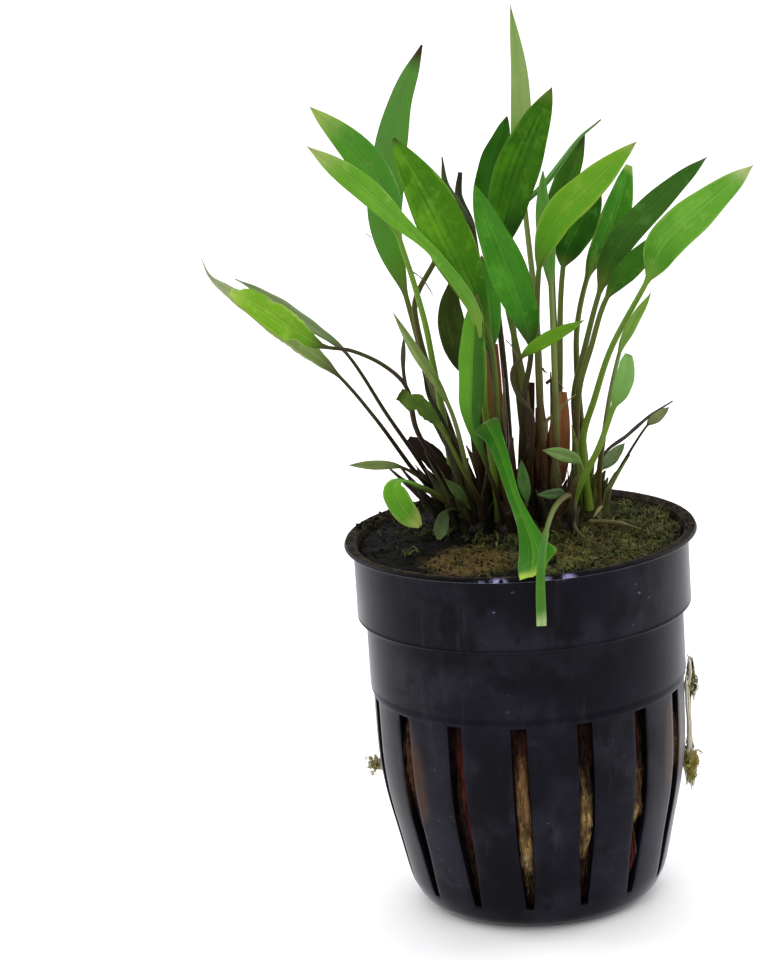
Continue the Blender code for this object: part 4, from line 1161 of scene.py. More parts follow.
LEAVES = [
    # Far left, torn and withered
    Leaf("leaf_far_left_torn", 2, 3, [(-14.9, 1, 75.3), (-16.1, 0, 82.5), (-19.2, -2, 86.6), (-24, -4, 89.7)],
         [(-28.4, -5, 90.9), (-32.1, -6, 93.5), (-37, -7, 97.7), (-41.3, -8, 100.9)],
         (0.9, 2.8, 4.1, 4.5, 4.2, 3.4, 1.8), 25, stout=0.7,
         colour=(118, 168, 36), shade=(86, 132, 26), margin=(164, 194, 84), tip=(160, 190, 78),
         tip_share=0.24, margin_share=0.2, tone="dark", ragged=0.4,
         notches=((0.97, 1, 0.8, 0.05), (0.24, -1, 0.45, 0.05), (0.62, 1, 0.2, 0.05), (0.8, -1, 0.2, 0.03))),
    Leaf("leaf_far_left_withered", 1, 4, [(-16.7, 7.3, 68.6), (-21.6, 4, 77.4)],
         [(-26.9, 1, 85.3), (-33.5, 0, 91.7), (-38, -1, 96.1), (-42.3, -1.5, 99.6), (-44.9, -2, 102.1),
          (-46, -2.4, 105.2)],
         (0.8, 2.2, 2.9, 3.2, 3.4, 3.2, 2.6, 1.6, 0.5, 0.1), 30, 16, stout=0.65,
         colour=(140, 160, 92), shade=(108, 130, 64), margin=(180, 190, 140), tip=(166, 172, 140),
         tip_share=0.45, margin_share=0.3, tone="dark", ragged=0.3,
         notches=((0.36, 1, 0.5, 0.04), (0.5, 1, 0.3, 0.03))),
    Leaf("leaf_far_left_edge", 1, 3, [(-14.3, 9.8, 66.9), (-19.6, 8, 76.5)],
         [(-25.4, 7, 87.1), (-30.2, 6.5, 91.5), (-35.8, 6, 96.2), (-41.6, 5, 100.2)], 2.5, 60, stout=0.65,
         colour=(118, 134, 88), shade=(92, 110, 68), tip=(150, 156, 116), tone="dark"),
    # Left
    Leaf("leaf_left_broad", 1, 0, [(-12.5, 8.5, 88), (-14, 8.5, 96.1)],
         [(-16.2, 7, 105.3), (-17.6, 5.5, 111.6), (-21.2, 2.5, 118.7), (-28, 0, 126.7)], 5.4, 25,
         colour=(78, 140, 36), shade=(70, 132, 44), margin=(122, 154, 78), tip=(160, 182, 92),
         tip_share=0.3, spots=0.3, tone="bright", halves=0.5),
    Leaf("leaf_left_front", 4, 4, [(-4.3, 0.8, 77.4)],
         [(-4.6, -4, 93.3), (-10.1, -7, 103.9), (-15.8, -9, 110.4), (-20.5, -12.5, 116.1),
          (-28.1, -16, 123.2)],
         (1.9, 2.0, 1.7, 1.6, 2.5, 3.5, 3.7, 2.7, 0), 22, 18,
         colour=(98, 154, 36), shade=(78, 134, 36), margin=(146, 176, 80), tip=(174, 184, 112),
         tip_share=0.18, tone="bright"),
    Leaf("leaf_left_tall", 1, 1, [(-13.5, 14, 83)],
         [(-16, 15, 95), (-18.4, 16, 105.3), (-17.4, 17, 114.6), (-15.1, 19, 123.6), (-11, 20, 132.6)],
         (1.1, 3.4, 4.9, 5.6, 5.7, 5.4, 4.8, 3.7, 2.4, 0.4), 18,
         colour=(86, 136, 58), shade=(80, 140, 34), margin=(106, 124, 78), tip=(64, 52, 38),
         tip_share=0.12, margin_share=0.07, halves=0.4, mottle=0.35),
    Leaf("leaf_left_narrow", 2, 0, [(-8, 3.5, 70)], [(-10, 3, 79), (-15, 1, 89), (-17.5, 0, 94.5)], 1.7, 25,
         colour=(142, 162, 96), shade=(92, 116, 50), tip=(130, 128, 90), tone="pale", stout=0.8,
         halves=0.7),
    Leaf("leaf_left_hidden", 1, 8, [(-14.5, 12, 92)],
         [(-10.5, 12, 100.5), (-9, 12, 103.5), (-7, 12, 106.5)], 2.4, 60,
         colour=(84, 98, 40), shade=(60, 72, 26), tone="olive"),
    # Middle
    Leaf("leaf_middle_broad", 4, 3, [(-2.5, 1, 76)],
         [(-3, -0.5, 89.5), (-9.5, -5, 109), (-15.5, -9, 122.5)],
         (1.0, 2.8, 4.6, 6.2, 7.3, 7.5, 7.0, 5.8, 3.6, 0.6), 20,
         colour=(90, 144, 20), shade=(42, 94, 0), margin=(112, 158, 46), tip=(58, 76, 18),
         tip_share=0.06, mottle=0.75, spots=0.2, halves=0.6),
    Leaf("leaf_middle_front", 4, 1, [(1.7, -1.5, 79.9)],
         [(3.2, -5, 89.2), (0.7, -9, 100.9), (-3.9, -15, 115.8)], 6.4, -22,
         colour=(66, 132, 26), shade=(36, 96, 8), margin=(88, 146, 44), tip=(78, 134, 38),
         mottle=0.6, tone="dark", halves=0.5),
    Leaf("leaf_middle_tall", 5, 5, [(2, 5.5, 79.9)],
         [(-0.8, 5, 101.3), (1.4, 4.5, 110.8), (3.5, 4, 116.4), (8.6, 3, 127.1)], 7.2, -22,
         colour=(66, 124, 8), shade=(22, 64, 0), margin=(84, 134, 26), tip=(88, 112, 34),
         tip_share=0.1, mottle=0.7, halves=0.5),
    Leaf("leaf_middle_dark", 3, 8, [(-1, 14, 80)], [(-1.9, 15, 100.8), (-1.3, 17, 111.2), (1.6, 19, 120.8)],
         6.2, 24, colour=(38, 96, 4), shade=(30, 72, 2), margin=(58, 70, 22), tip=(52, 46, 26),
         tip_share=0.07, tone="dark"),
    Leaf("leaf_top", 5, 2, [(4.5, 16, 88)],
         [(3.5, 20, 109.7), (3.9, 21.5, 121.3), (3.9, 22.5, 127.4), (3.1, 24, 137.5)],
         (1.6, 2.9, 3.5, 3.4, 3.1, 2.7, 2.1, 1.2, 0), -15,
         colour=(136, 162, 90), shade=(118, 152, 74), margin=(158, 170, 118), tip=(132, 142, 92),
         tip_share=0.08, margin_share=0.2, tone="pale"),
    Leaf("leaf_middle_low", 4, 2, [(-2, 3, 74)], [(-3, 3, 87), (-3.5, 3, 94), (-3.5, 3, 102)], 5.0, 15,
         colour=(76, 142, 34), shade=(58, 122, 26), tone="dark", halves=0.6),
    Leaf("leaf_middle_upright", 4, 5, [],
         [(-4.7, -1.5, 70.4), (-6.3, -2, 77.4), (-6.0, -2.5, 84), (-5.3, -2.6, 91), (-4.5, -2.4, 97)],
         (0.9, 1.5, 2.7, 3.8, 4.4, 4.6, 4.5, 4.0, 2.8, 0.5), -30,
         colour=(88, 146, 34), shade=(38, 82, 12), tone="dark", stout=0.7, halves=0.95, mottle=0.2),
    Leaf("leaf_dark_edge", 3, 0, [(-3.5, 12.5, 84)],
         [(-4.7, 13, 103.9), (-7.2, 14, 108.6), (-8.6, 14.5, 111.4), (-8.8, 15, 115.6)], 2.2, 60, ripple=0.0,
         colour=(52, 70, 28), shade=(32, 46, 12), tip=(58, 56, 34), tip_share=0.3, tone="dark"),
    Leaf("leaf_dark_stub", 3, 2, [(-3.5, 15, 84)],
         [(-4.7, 16, 104), (-6.3, 17, 107.9), (-6.7, 17.5, 109.4), (-6.2, 18, 112.6)],
         (0.9, 1.5, 1.6, 1.0), 50, ripple=0.0,
         colour=(50, 60, 26), shade=(36, 40, 16), tip=(60, 54, 34), tip_share=0.4, tone="dark"),
    Leaf("leaf_brown", 3, 5, [(-6, 10, 72)], [(-7.5, 9, 82.5), (-9, 9, 91), (-8.5, 9, 97.5)], 4.8, 26,
         colour=(62, 82, 28), shade=(44, 56, 14), margin=(66, 54, 26), tip=(64, 66, 30), tone="dark",
         ripple=0.05, mottle=0.9),
    # Right
    Leaf("leaf_thin_edge", 5, 4, [(0.9, 8, 82)],
         [(1, 8, 104.4), (2.8, 8.5, 108), (6.8, 9, 111.6), (12.3, 10, 117.9), (16, 10.5, 120.6)], 2.3, 60,
         ripple=0.05, colour=(92, 150, 60), shade=(50, 92, 22), tip=(120, 130, 84), tip_share=0.2,
         halves=0.8),
    Leaf("leaf_right_dark", 5, 1, [(7, 13, 80)], [(7.7, 17, 101), (10.1, 20, 109.3), (13.7, 23, 116.7)],
         4.4, -28, colour=(58, 114, 2), shade=(38, 80, 2), margin=(62, 66, 32), tip=(46, 56, 22),
         tip_share=0.25, mottle=0.8),
    Leaf("leaf_right_bright", 6, 3, [(4.1, -1, 80)],
         [(5.1, -4, 100.8), (8, -6, 108.2), (13.1, -9, 113.5), (20.3, -12, 120.3)],
         5.3, -22, colour=(98, 150, 32), shade=(80, 140, 24), margin=(138, 168, 56), tip=(148, 166, 80),
         tip_share=0.14, margin_share=0.25, halves=0.5),
    Leaf("leaf_right_back", 7, 2, [(10.5, 16, 84.5)], [(13, 19, 95), (17.5, 22, 103), (20.5, 25, 111)],
         (1.1, 2.8, 4.0, 4.8, 5.1, 4.9, 4.2, 3.0, 1.2), 20,
         colour=(58, 126, 22), shade=(40, 100, 16), margin=(124, 162, 56), tip=(140, 168, 74),
         tip_share=0.1, margin_share=0.18, spots=0.4),
    Leaf("leaf_right_shaded", 5, 8, [(7.5, 10, 80)], [(9, 11, 98), (11.5, 12, 103.5), (15.5, 13, 109.5)],
         5.8, -24, colour=(40, 96, 8), shade=(26, 66, 2), margin=(64, 122, 36), mottle=0.8, halves=0.7),
    Leaf("leaf_right_small", 6, 2, [(6.6, 1.5, 79.9)],
         [(6.8, 0, 97.3), (6.5, -0.5, 103.6), (6.2, -1, 109.9), (6.5, -1.5, 115.3)], 2.7, 10,
         colour=(92, 144, 60), shade=(78, 128, 48), tone="pale"),
    Leaf("leaf_right_long", 7, 3, [(9.7, 10, 70.4), (9.7, 11, 77.6), (11.4, 12, 83.6)],
         [(14.8, 15, 93.6), (17.7, 17, 99.3), (24.1, 20, 105.4), (32.7, 23, 111.9)],
         (1.2, 3.6, 4.2, 4.3, 4.2, 4.0, 3.2, 2.0, 0), -24,
         colour=(54, 98, 22), shade=(44, 84, 18), margin=(82, 126, 54), tip=(88, 112, 58),
         tip_share=0.1, mottle=0.7),
    Leaf("leaf_far_right", 7, 6, [(10.6, 6, 71.3), (12.6, 5, 77.8), (15.6, 3.5, 86.2)],
         [(21.7, 0, 97.5), (24.3, -2, 103), (30.4, -5, 108.9), (37.7, -8, 115.2)],
         (1.2, 4.6, 5.8, 6.0, 5.8, 5.0, 3.9, 2.4, 0), -20,
         colour=(106, 164, 52), shade=(66, 130, 24), margin=(140, 178, 84), tip=(172, 186, 124),
         tip_share=0.2, margin_share=0.16, tone="bright", halves=0.4),
    Leaf("leaf_right_under", 7, 4, [(9.6, 8.3, 72.4), (10.6, 9, 79.4), (12.5, 10, 84.7)],
         [(15.6, 11, 92.8), (20.5, 12, 98), (25.4, 12.5, 102.5)], 3.6, -22,
         colour=(54, 104, 20), shade=(42, 88, 14)),
    Leaf("leaf_right_narrow", 7, 7, [(14.2, 2.8, 74.9)],
         [(16.8, 1, 86.1), (19, 0, 90.8), (21.9, -1, 95.4)], 2.1, 30, colour=(112, 148, 52),
         shade=(96, 128, 50), tip=(120, 140, 62), tone="pale", stout=0.8),
    Leaf("leaf_right_pale", 6, 8, [(13.1, 0, 72)], [(15.5, -1, 78.2), (17.2, -3.5, 82.6), (18, -5, 86.9)],
         (1.0, 2.2, 2.9, 3.1, 3.0, 2.6, 1.2), -25,
         colour=(128, 174, 90), shade=(108, 156, 74), margin=(134, 174, 104), tip=(116, 154, 86),
         tone="bright", mottle=0.3),
    # Low on the right
    Leaf("leaf_low_right_dark", 7, 1, [],
         [(13.7, 13, 66.7), (18, 16, 69.5), (21.6, 18, 71.8), (25.5, 20, 73.5)],
         1.2, 50, stout=0.6, colour=(42, 40, 24), shade=(28, 28, 12), margin=(60, 60, 44), tip=(50, 48, 34),
         tone="dark"),
    Leaf("leaf_low_right_thin", 7, 8, [(14.3, 9, 62.6), (17.6, 9, 67.9)],
         [(20.8, 9, 72.4), (22.7, 9, 73.9), (24.3, 9, 75.1)], 1.9, 20, stout=0.45,
         colour=(124, 132, 83), shade=(96, 104, 66), margin=(150, 156, 104), tip=(110, 106, 72), tone="dark"),
    Leaf("leaf_low_right_pale", 7, 0, [], [(13, 8, 65.9), (15, 9, 67.6), (17.2, 10, 69.5)], 2.4, 20,
         colour=(108, 128, 84), shade=(72, 100, 60)),
    Leaf("leaf_bright_across", 4, 8, [(2.9, -2.6, 77.4), (0.9, -4, 81.2), (0.1, -5, 84.9)],
         [(1.8, -7, 87.9), (6.1, -11, 91.5), (11.2, -15, 94.6)], 2.4, 10, stout=0.75,
         colour=(92, 136, 28), shade=(78, 124, 14), tip=(110, 138, 54), tip_share=0.2, tone="dark"),
    Leaf("leaf_small_pale", 6, 1, [(9.9, 2, 65.9)], [(10, 2, 68.5), (7.1, 0, 70.7), (4.2, -2, 72)], 2.1, 10,
         stout=0.7, colour=(118, 146, 82), shade=(98, 128, 64), tip=(136, 150, 104), tone="pale"),
    Leaf("leaf_small_upright", 4, 7, [], [(1.3, -3, 64.2), (0.9, -3.5, 68.2), (0.8, -4, 71.1)], 1.9, 10,
         stout=0.6, colour=(80, 118, 58), shade=(64, 102, 44)),
    Leaf("leaf_small_across", 6, 5, [], [(7, -1, 64.5), (5, -3, 65.2), (3, -4, 65.5)], 1.6, 10, stout=0.6,
         colour=(88, 116, 72), shade=(64, 94, 50)),
    # Low on the left
    Leaf("leaf_low_left_curled", 2, 4, [(-12.1, 3, 64.2)],
         [(-14.4, 2.5, 65.8), (-16.6, 2, 67), (-18.5, 1.2, 67.6), (-19.2, 0.1, 66.7), (-18.5, -1, 65.1),
          (-17.3, -2, 63.3), (-15.3, -3, 61.3)],
         (0.9, 1.2, 1.3, 1.6, 2.6, 3.6, 3.9, 3.9, 3.7, 2.9, 0.9), 0, 14,
         colour=(90, 150, 28), shade=(78, 134, 26), margin=(142, 162, 84), tip=(164, 182, 90),
         tip_share=0.2, margin_share=0.25),
    Leaf("leaf_low_left_across", 1, 5, [(-13.7, 6.6, 65.2)],
         [(-17.9, 5.6, 68.7), (-22.4, 5.6, 69.3), (-26.1, 5.6, 69.5)], 1.5, 20, stout=0.6,
         colour=(120, 136, 76), shade=(96, 110, 56), tip=(136, 146, 96), tone="dark"),
    Leaf("leaf_low_left_torn", 2, 7, [(-8.7, 0, 70.1)],
         [(-11.4, -2, 76.6), (-14, -3, 80.1), (-17.2, -4, 82.6)],
         (0.8, 1.9, 2.8, 2.9, 1.9), 10, colour=(76, 106, 28), shade=(58, 82, 22), margin=(82, 94, 44),
         tip=(50, 62, 16), tip_share=0.2, ragged=0.6, stout=0.75, mottle=0.9,
         notches=((0.55, -1, 0.45, 0.07), (0.8, 1, 0.5, 0.06))),
    Leaf("leaf_low_left_soil", 2, 5, [(-10, 1.2, 62.5)],
         [(-11.2, -0.2, 62.7), (-11.8, -1.2, 61.6), (-12.2, -2, 60.2), (-12.6, -2.6, 58.9)],
         (0.7, 1.7, 2.1, 2.3, 2.0, 0.6), 10, stout=0.5,
         colour=(104, 126, 74), shade=(88, 108, 60), tip=(124, 150, 96)),
    Leaf("leaf_low_left_dead", 1, 2, [],
         [(-10.8, 12, 64.3), (-12.9, 13, 67.9), (-15.1, 14, 69.8), (-16.9, 15, 70.9)],
         (1.6, 2.6, 3.2, 3.3, 3.1, 2.6, 1.2), 20, colour=(30, 18, 12), shade=(18, 11, 7), margin=(36, 24, 18),
         tip=(34, 24, 16), tone="dark", ripple=0.25, stout=0.6, ragged=0.3),
    Leaf("leaf_low_left_dull", 2, 6, [], [(-8, 0.5, 63.5), (-9.5, -0.5, 66), (-11, -1, 68)], 1.8, 20,
         stout=0.6, colour=(72, 94, 48), shade=(54, 76, 34)),
    Leaf("leaf_left_dark", 2, 1, [(-8.1, 5.2, 70)], [(-10.4, 5, 74.7), (-12.8, 4.5, 79.8), (-13.6, 4, 84.2)],
         1.1, 50, stout=0.7,
         colour=(46, 50, 24), shade=(32, 34, 14), margin=(44, 40, 20), tip=(40, 34, 20), tone="dark"),
    # Bent over the rim at the front
    Leaf("leaf_bent_over_rim", 4, 6, [(-2.5, -1, 69.6)],
         [(-3.6, -2, 74.7), (-4.1, -3.5, 77), (-3.8, -5.5, 76.8), (-2.5, -9, 74.1), (-0.6, -15, 68.2),
          (1.7, -22.5, 62.6), (1.4, -29.3, 59.7)],
         (1.5, 3.6, 2.9, 2.4, 2.0, 1.9, 2.2, 2.9, 4.2, 5.0, 4.0), 0, 8,
         colour=(52, 116, 12), shade=(22, 78, 0), margin=(122, 160, 54), tip=(150, 178, 64),
         tip_share=0.1, margin_share=0.12, ragged=0.12, halves=0.5, mottle=0.2,
         notches=((0.87, -1, -0.55, 0.05), (0.13, 1, -0.3, 0.04))),
    # Bare stalks and old sheaths
    Leaf("stalk_over_rim", 6, 6, [(7.8, -3, 64.6), (5.6, -12, 65.6)],
         [(3.8, -23, 64.4), (2.7, -30.3, 60.5), (2.4, -30.3, 52.3)], (1.0, 1.2, 1.4, 1.5), 0, 4,
         colour=(70, 120, 38), shade=(58, 108, 30), margin=(92, 138, 58), tip=(148, 172, 112),
         tip_share=0.13, ripple=0.0, stout=0.9),
    Leaf("stalk_left", 2, 2, [(-10, 6.5, 66.9), (-14.9, 7, 73.2), (-16.2, 7, 79.9)],
         [(-16.7, 7, 83.9), (-16.3, 7, 89.1)], 0.8, 0, 0, stout=0.7,
         colour=(88, 90, 78), shade=(64, 64, 50), margin=(86, 84, 68), tip=(70, 66, 50), tone="dark",
         ripple=0.0),
    Leaf("sheath_red", 3, 6, [], [(-3, 9, 68), (-3, 8, 74.1), (-2.7, 8, 87)],
         (1.8, 2.8, 2.6, 1.8), 0, 10, stout=1.1, colour=(116, 92, 46), shade=(128, 66, 34),
         margin=(124, 104, 62), tip=(112, 88, 50), tone="red", mottle=0.7, halves=0.9),
    Leaf("sheath_brown", 5, 7, [], [(6.5, 6.5, 65), (7, 6.5, 71.4), (7.6, 6.5, 79.1)],
         (2.0, 3.2, 3.0, 1.8), 0, 10, stout=1.1, colour=(166, 108, 64), shade=(98, 56, 34),
         margin=(160, 120, 76), tip=(128, 92, 58), tone="red", mottle=0.8, halves=0.5),
    Leaf("sheath_dark", 5, 3, [], [(2.5, 10, 65), (2, 10.5, 70), (3, 10.5, 80)],
         (1.6, 2.0, 1.8, 1.2), 0, 10, stout=1.1, colour=(60, 36, 24), shade=(34, 22, 14),
         margin=(70, 44, 28), tip=(52, 36, 24), tone="dark"),
]


# %% [markdown]
# A midrib is a smooth line through its points. Between two points it is a Bezier span, with handles a third
# of the span long, so that a short span next to a long one doesn't swing out. The first direction is
# straight up, as a stalk leaves its crown.


# %% Route of a leaf
UPWARDS = Vector((0, 0, 1))
FRONT = Vector((0, -1, 0))


def curve_through(points, start_way, steps=12):
    """A smooth line through the points, closely stepped, with the place of each point along it."""
    ways = [start_way] + [(after - before).normalized() for before, after in zip(points, points[2:])]
    ways.append((points[-1] - points[-2]).normalized())
    line, marks = [points[0].copy()], [0]
    for start, end, way_out, way_in in zip(points, points[1:], ways, ways[1:]):
        reach = (end - start).length / 3
        line += interpolate_bezier(start, start + way_out * reach, end - way_in * reach, end, steps + 1)[1:]
        marks.append(len(line) - 1)
    return line, marks


def length_of(line, first, last):
    """The length of the line between two of its points."""
    return sum((b - a).length for a, b in zip(line[first:last], line[first + 1:last + 1]))


def stations(line, first, last, shares):
    """Points and directions at shares of the way from one place on the line to another."""
    lengths = [0.0]
    for a, b in zip(line[first:last], line[first + 1:last + 1]):
        lengths.append(lengths[-1] + (b - a).length)
    found, step = [], 1
    for share in shares:
        reach = share * lengths[-1]
        while step < len(lengths) - 1 and lengths[step] < reach - 1e-9:
            step += 1
        part = (reach - lengths[step - 1]) / (lengths[step] - lengths[step - 1])
        a, b = line[first + step - 1], line[first + step]
        before, after = line[max(0, first + step - 2)], line[min(len(line) - 1, first + step + 1)]
        way = (b - before).normalized().lerp((after - a).normalized(), part)
        found.append((a.lerp(b, part), way.normalized()))
    return found


def facing(ways, turned):
    """The direction that the upper face looks at each station, carried along without twisting."""
    middle = len(ways) * 2 // 3
    way = ways[middle]
    front = (FRONT - FRONT.dot(way) * way).normalized()
    front.rotate(Matrix.Rotation(math.radians(turned), 3, way))
    faces = {middle: front}
    for order in (range(middle + 1, len(ways)), range(middle - 1, -1, -1)):
        face, last = front.copy(), way
        for index in order:
            face.rotate(last.rotation_difference(ways[index]))
            last = ways[index]
            faces[index] = face.copy()
    return [faces[index] for index in range(len(ways))]


def seat_place(crown, seat):
    """Where a stalk starts: in the middle of its crown, or at one of eight places round it."""
    x, y = CROWNS[crown]
    bearing = math.radians(45 * seat)
    reach = SEAT_RADIUS if seat else 0.0
    return Vector((x * MM + reach * math.cos(bearing), y * MM + reach * math.sin(bearing), CROWN_TOP + GAP))


def leaf_route(leaf):
    """The leaf's smooth line from its seat to its tip, and where on it the neck is."""
    points = [seat_place(leaf.crown, leaf.seat)] + [Vector(point) * MM for point in leaf.stalk + leaf.blade]
    line, marks = curve_through(points, UPWARDS)
    return line, marks[1 + len(leaf.stalk)]


# %% [markdown]
# An ordinary blade is a lance: its width rises from the neck as a power of the way along, and falls to the
# tip as another. A blade of another outline lists its widths at even steps, and a smooth curve runs through
# them. Torn edges are bites out of the width and some noise on it.

# %% Width of a blade
LANCE_RISE = 0.75
LANCE_FALL = 0.9
EDGE_WANDER, EDGE_TATTER = 0.05, 0.35  # how much of the width a slow and a fine unevenness take or give
NARROWEST = 0.04 * MM


def lance(share):
    """An ordinary blade's width at a share of its length, as a share of its greatest."""
    widest = LANCE_RISE / (LANCE_RISE + LANCE_FALL)
    peak = widest ** LANCE_RISE * (1 - widest) ** LANCE_FALL
    return share ** LANCE_RISE * (1 - share) ** LANCE_FALL / peak


def half_widths(leaf, share, neck, seed):
    """How far the left and the right half reach at a share of the blade."""
    if isinstance(leaf.width, tuple):
        steps = len(leaf.width) - 1
        half = through([(index / steps, width) for index, width in enumerate(leaf.width)], share) * MM / 2
    else:
        half = math.hypot(neck * (1 - share) ** 2, leaf.width * MM / 2 * lance(min(share, 0.999)))
    halves = []
    for side in (-1, 1):
        wander = noise.noise(Vector((share * 3, side * 5, seed)))
        tatter = noise.noise(Vector((share * 40, side * 9, seed)))
        reach = half * (1 + EDGE_WANDER * wander + EDGE_TATTER * leaf.ragged * tatter)
        for at, torn_side, depth, size in leaf.notches:
            if torn_side == side:
                reach *= 1 - depth * math.exp(-((share - at) / size) ** 2)
        halves.append(max(reach, NARROWEST))
    return halves


# %% [markdown]
# What the leaf tree reads is stored on the points of bare lines. Every line is a list of stations from foot
# to tip, and one mesh can hold many lines, which a crown with all its sheaths needs.


# %% Bare lines that carry what the leaf tree reads
def station(place, way, face, halves, thick, blade=0.0, fold=0.0, along=0.0, phase=0.0, tone=0.0):
    """One point of a line. halves is how far the left and the right half reach, face is where it looks."""
    return {"place": place, "up": face, "across": way.cross(face), "left": halves[0], "right": halves[1],
            "thick": thick, "blade": blade, "fold": fold, "along": along, "phase": phase, "tone": tone}


def bare_lines(name, lines):
    """An object of bare lines with their stations' values stored on its points."""
    edges, start = [], 0
    for line in lines:
        edges += [(start + index, start + index + 1) for index in range(len(line) - 1)]
        start += len(line)
    points = [point for line in lines for point in line]
    numbers = ("left", "right", "thick", "blade", "fold", "along", "phase", "tone")
    mesh = mesh_of(name, [point["place"] for point in points], edges, [],
                   {key: [point[key] for point in points] for key in numbers})
    for key in ("place", "up", "across"):
        flat = [part for point in points for part in point[key]]
        mesh.attributes.new(key, "FLOAT_VECTOR", "POINT").data.foreach_set("vector", flat)
    return new_object(name, mesh)


# %% Stations of a leaf
STALK_STEP, STEM_STEP, BLADE_STEP = 1.0 * MM, 0.5 * MM, 0.55 * MM
STALK_STATIONS = (6, 60)               # the fewest and the most
BLADE_STATIONS = (16, 90)
FOOT_SWELL = 0.35                      # how much thicker a stalk is at its very foot
FOOT_LENGTH = 3.0 * MM


def even_shares(length, step, fewest, limit):
    """Even shares of a length, about a step apart."""
    count = max(fewest, min(limit, round(length / step)))
    return [index / count for index in range(count + 1)]


def stalk_thickness(leaf, share, length):
    swell = 1 + FOOT_SWELL * math.exp(-share * length / FOOT_LENGTH)
    return leaf.stout * (STALK_FOOT + (STALK_NECK - STALK_FOOT) * share) * swell


def leaf_stations(leaf, seed):
    """The stations of a leaf, first up its stalk and then along its blade, which opens from the neck on."""
    line, neck = leaf_route(leaf)
    last = len(line) - 1
    length = length_of(line, 0, neck)
    shares = even_shares(length, STALK_STEP, *STALK_STATIONS)[:-1]
    places, values = stations(line, 0, neck, shares), []
    for share in shares:
        thick = stalk_thickness(leaf, share, length)
        values.append(((thick / 2, thick / 2), thick, 0.0, 0.0, share / 2, seed))
    shares = even_shares(length_of(line, neck, last), BLADE_STEP, *BLADE_STATIONS)
    places += stations(line, neck, last, shares)
    neck_thick = STALK_NECK * leaf.stout
    for share in shares:
        opened = min(1.0, 3 * share)
        opened = opened * opened * (3 - 2 * opened)
        thick = BLADE_THICKNESS + (TIP_THICKNESS - BLADE_THICKNESS) * share
        thick += (neck_thick - thick) * (1 - opened)
        fold = math.tan(math.radians(leaf.fold)) * (1 - 0.3 * share)
        halves = half_widths(leaf, share, neck_thick / 2, seed)
        values.append((halves, thick, opened, fold, 0.5 + share / 2, seed))
    faces = facing([way for place, way in places], leaf.turn)
    return [station(place, way, face, *value) for (place, way), face, value in zip(places, faces, values)]


# %% Skin of each leaf
LEAF_SHINE = 0.09
LEAF_RELIEF = 0.05 * MM


def mixed(first, second, share):
    """A colour between two others."""
    return tuple(a + (b - a) * share for a, b in zip(first, second))


def leaf_look(leaf):
    """The leaf's own use of the skin group. A margin left out is worked out from the main colour."""
    margin = leaf.margin or mixed(leaf.colour, (150, 170, 90), 0.3)
    top, foot = TONES[leaf.tone]
    return look_from_group(leaf.name, LEAF_SKIN, LEAF_SHINE, LEAF_RELIEF, {
        "Blade": srgb(*leaf.colour), "Shade": srgb(*leaf.shade), "Margin": srgb(*margin),
        "Tip": srgb(*leaf.tip), "Stalk": srgb(*top), "Foot": srgb(*foot), "Tip share": leaf.tip_share,
        "Margin share": leaf.margin_share, "Mottle": leaf.mottle, "Spots": leaf.spots,
        "Halves": leaf.halves,
    }, {"UV": "Across and along"})


# %% Grow all the leaves
RIPPLE_SHARE = 0.025                   # of a blade's width at most


def make_leaf(index, leaf):
    widest = max(leaf.width) if isinstance(leaf.width, tuple) else leaf.width
    line = bare_lines(leaf.name + "_fine", [leaf_stations(leaf, 1.7 * index)])
    piece = grow(LEAF_TREE, line, {
        "Points round": 24, "Ripple": min(leaf.ripple, RIPPLE_SHARE * widest) * MM,
        "Ripples": 2.0 + index % 3, "Skin": leaf_look(leaf)})
    face_outwards(piece)
    dress(piece, leaf.name)
    return piece


leaf_pieces = [make_leaf(index, leaf) for index, leaf in enumerate(LEAVES)]
print("leaves grown:", len(leaf_pieces), "faces:", sum(len(piece.data.polygons) for piece in leaf_pieces))

# %% [markdown]
# Each crown is a short fat stem, wrapped in the sheaths of its leaves and in what is left of older ones:
# dark, papery half tubes of dead skin. A sheath is a very short leaf that folds the other way round its
# stalk, so the leaf tree grows these too. One mesh holds all the lines of a crown, each with a tone between
# its two colours.

# %% Shape and colours of the crowns
# Height above the pot's foot and radius of the stem in the middle, in millimetres
CORE = [(54.2, 1.2), (55.6, 2.0), (57.6, 2.6), (59.3, 2.75), (60.1, 2.3), (60.7, 1.5), (61.0, 0.4)]
SOIL_LEVEL = 57.4
SHEATH_WIDTH = [(0.0, 1.0), (0.3, 1.1), (0.65, 0.85), (0.88, 0.45), (1.0, 0.06)]
SHEATH_THICKNESS = 0.22 * MM
SHEATH_FOLD = -0.35
LOW_SHEATHS = 7                        # torn sheaths round each crown, low down
# Colours of the sheaths, fresh and old
CROWN_COLOURS = {
    1: ((66, 58, 36), (16, 10, 7)), 2: ((84, 88, 46), (24, 18, 11)), 3: ((150, 94, 48), (52, 22, 15)),
    4: ((88, 66, 38), (34, 18, 13)), 5: ((152, 86, 48), (54, 22, 16)), 6: ((96, 92, 48), (40, 24, 17)),
    7: ((112, 140, 52), (56, 56, 22)),
}
# Old stems: how far they lean to the right for their height, from how tall to how tall, and how many
OLD_STEMS = {1: (-0.6, 6, 13, 10), 2: (-0.42, 9, 22, 14), 3: (-0.06, 11, 27, 13), 4: (-0.08, 7, 15, 12),
             5: (0.05, 11, 24, 15), 6: (0.1, 5, 12, 10), 7: (0.12, 4, 10, 10)}
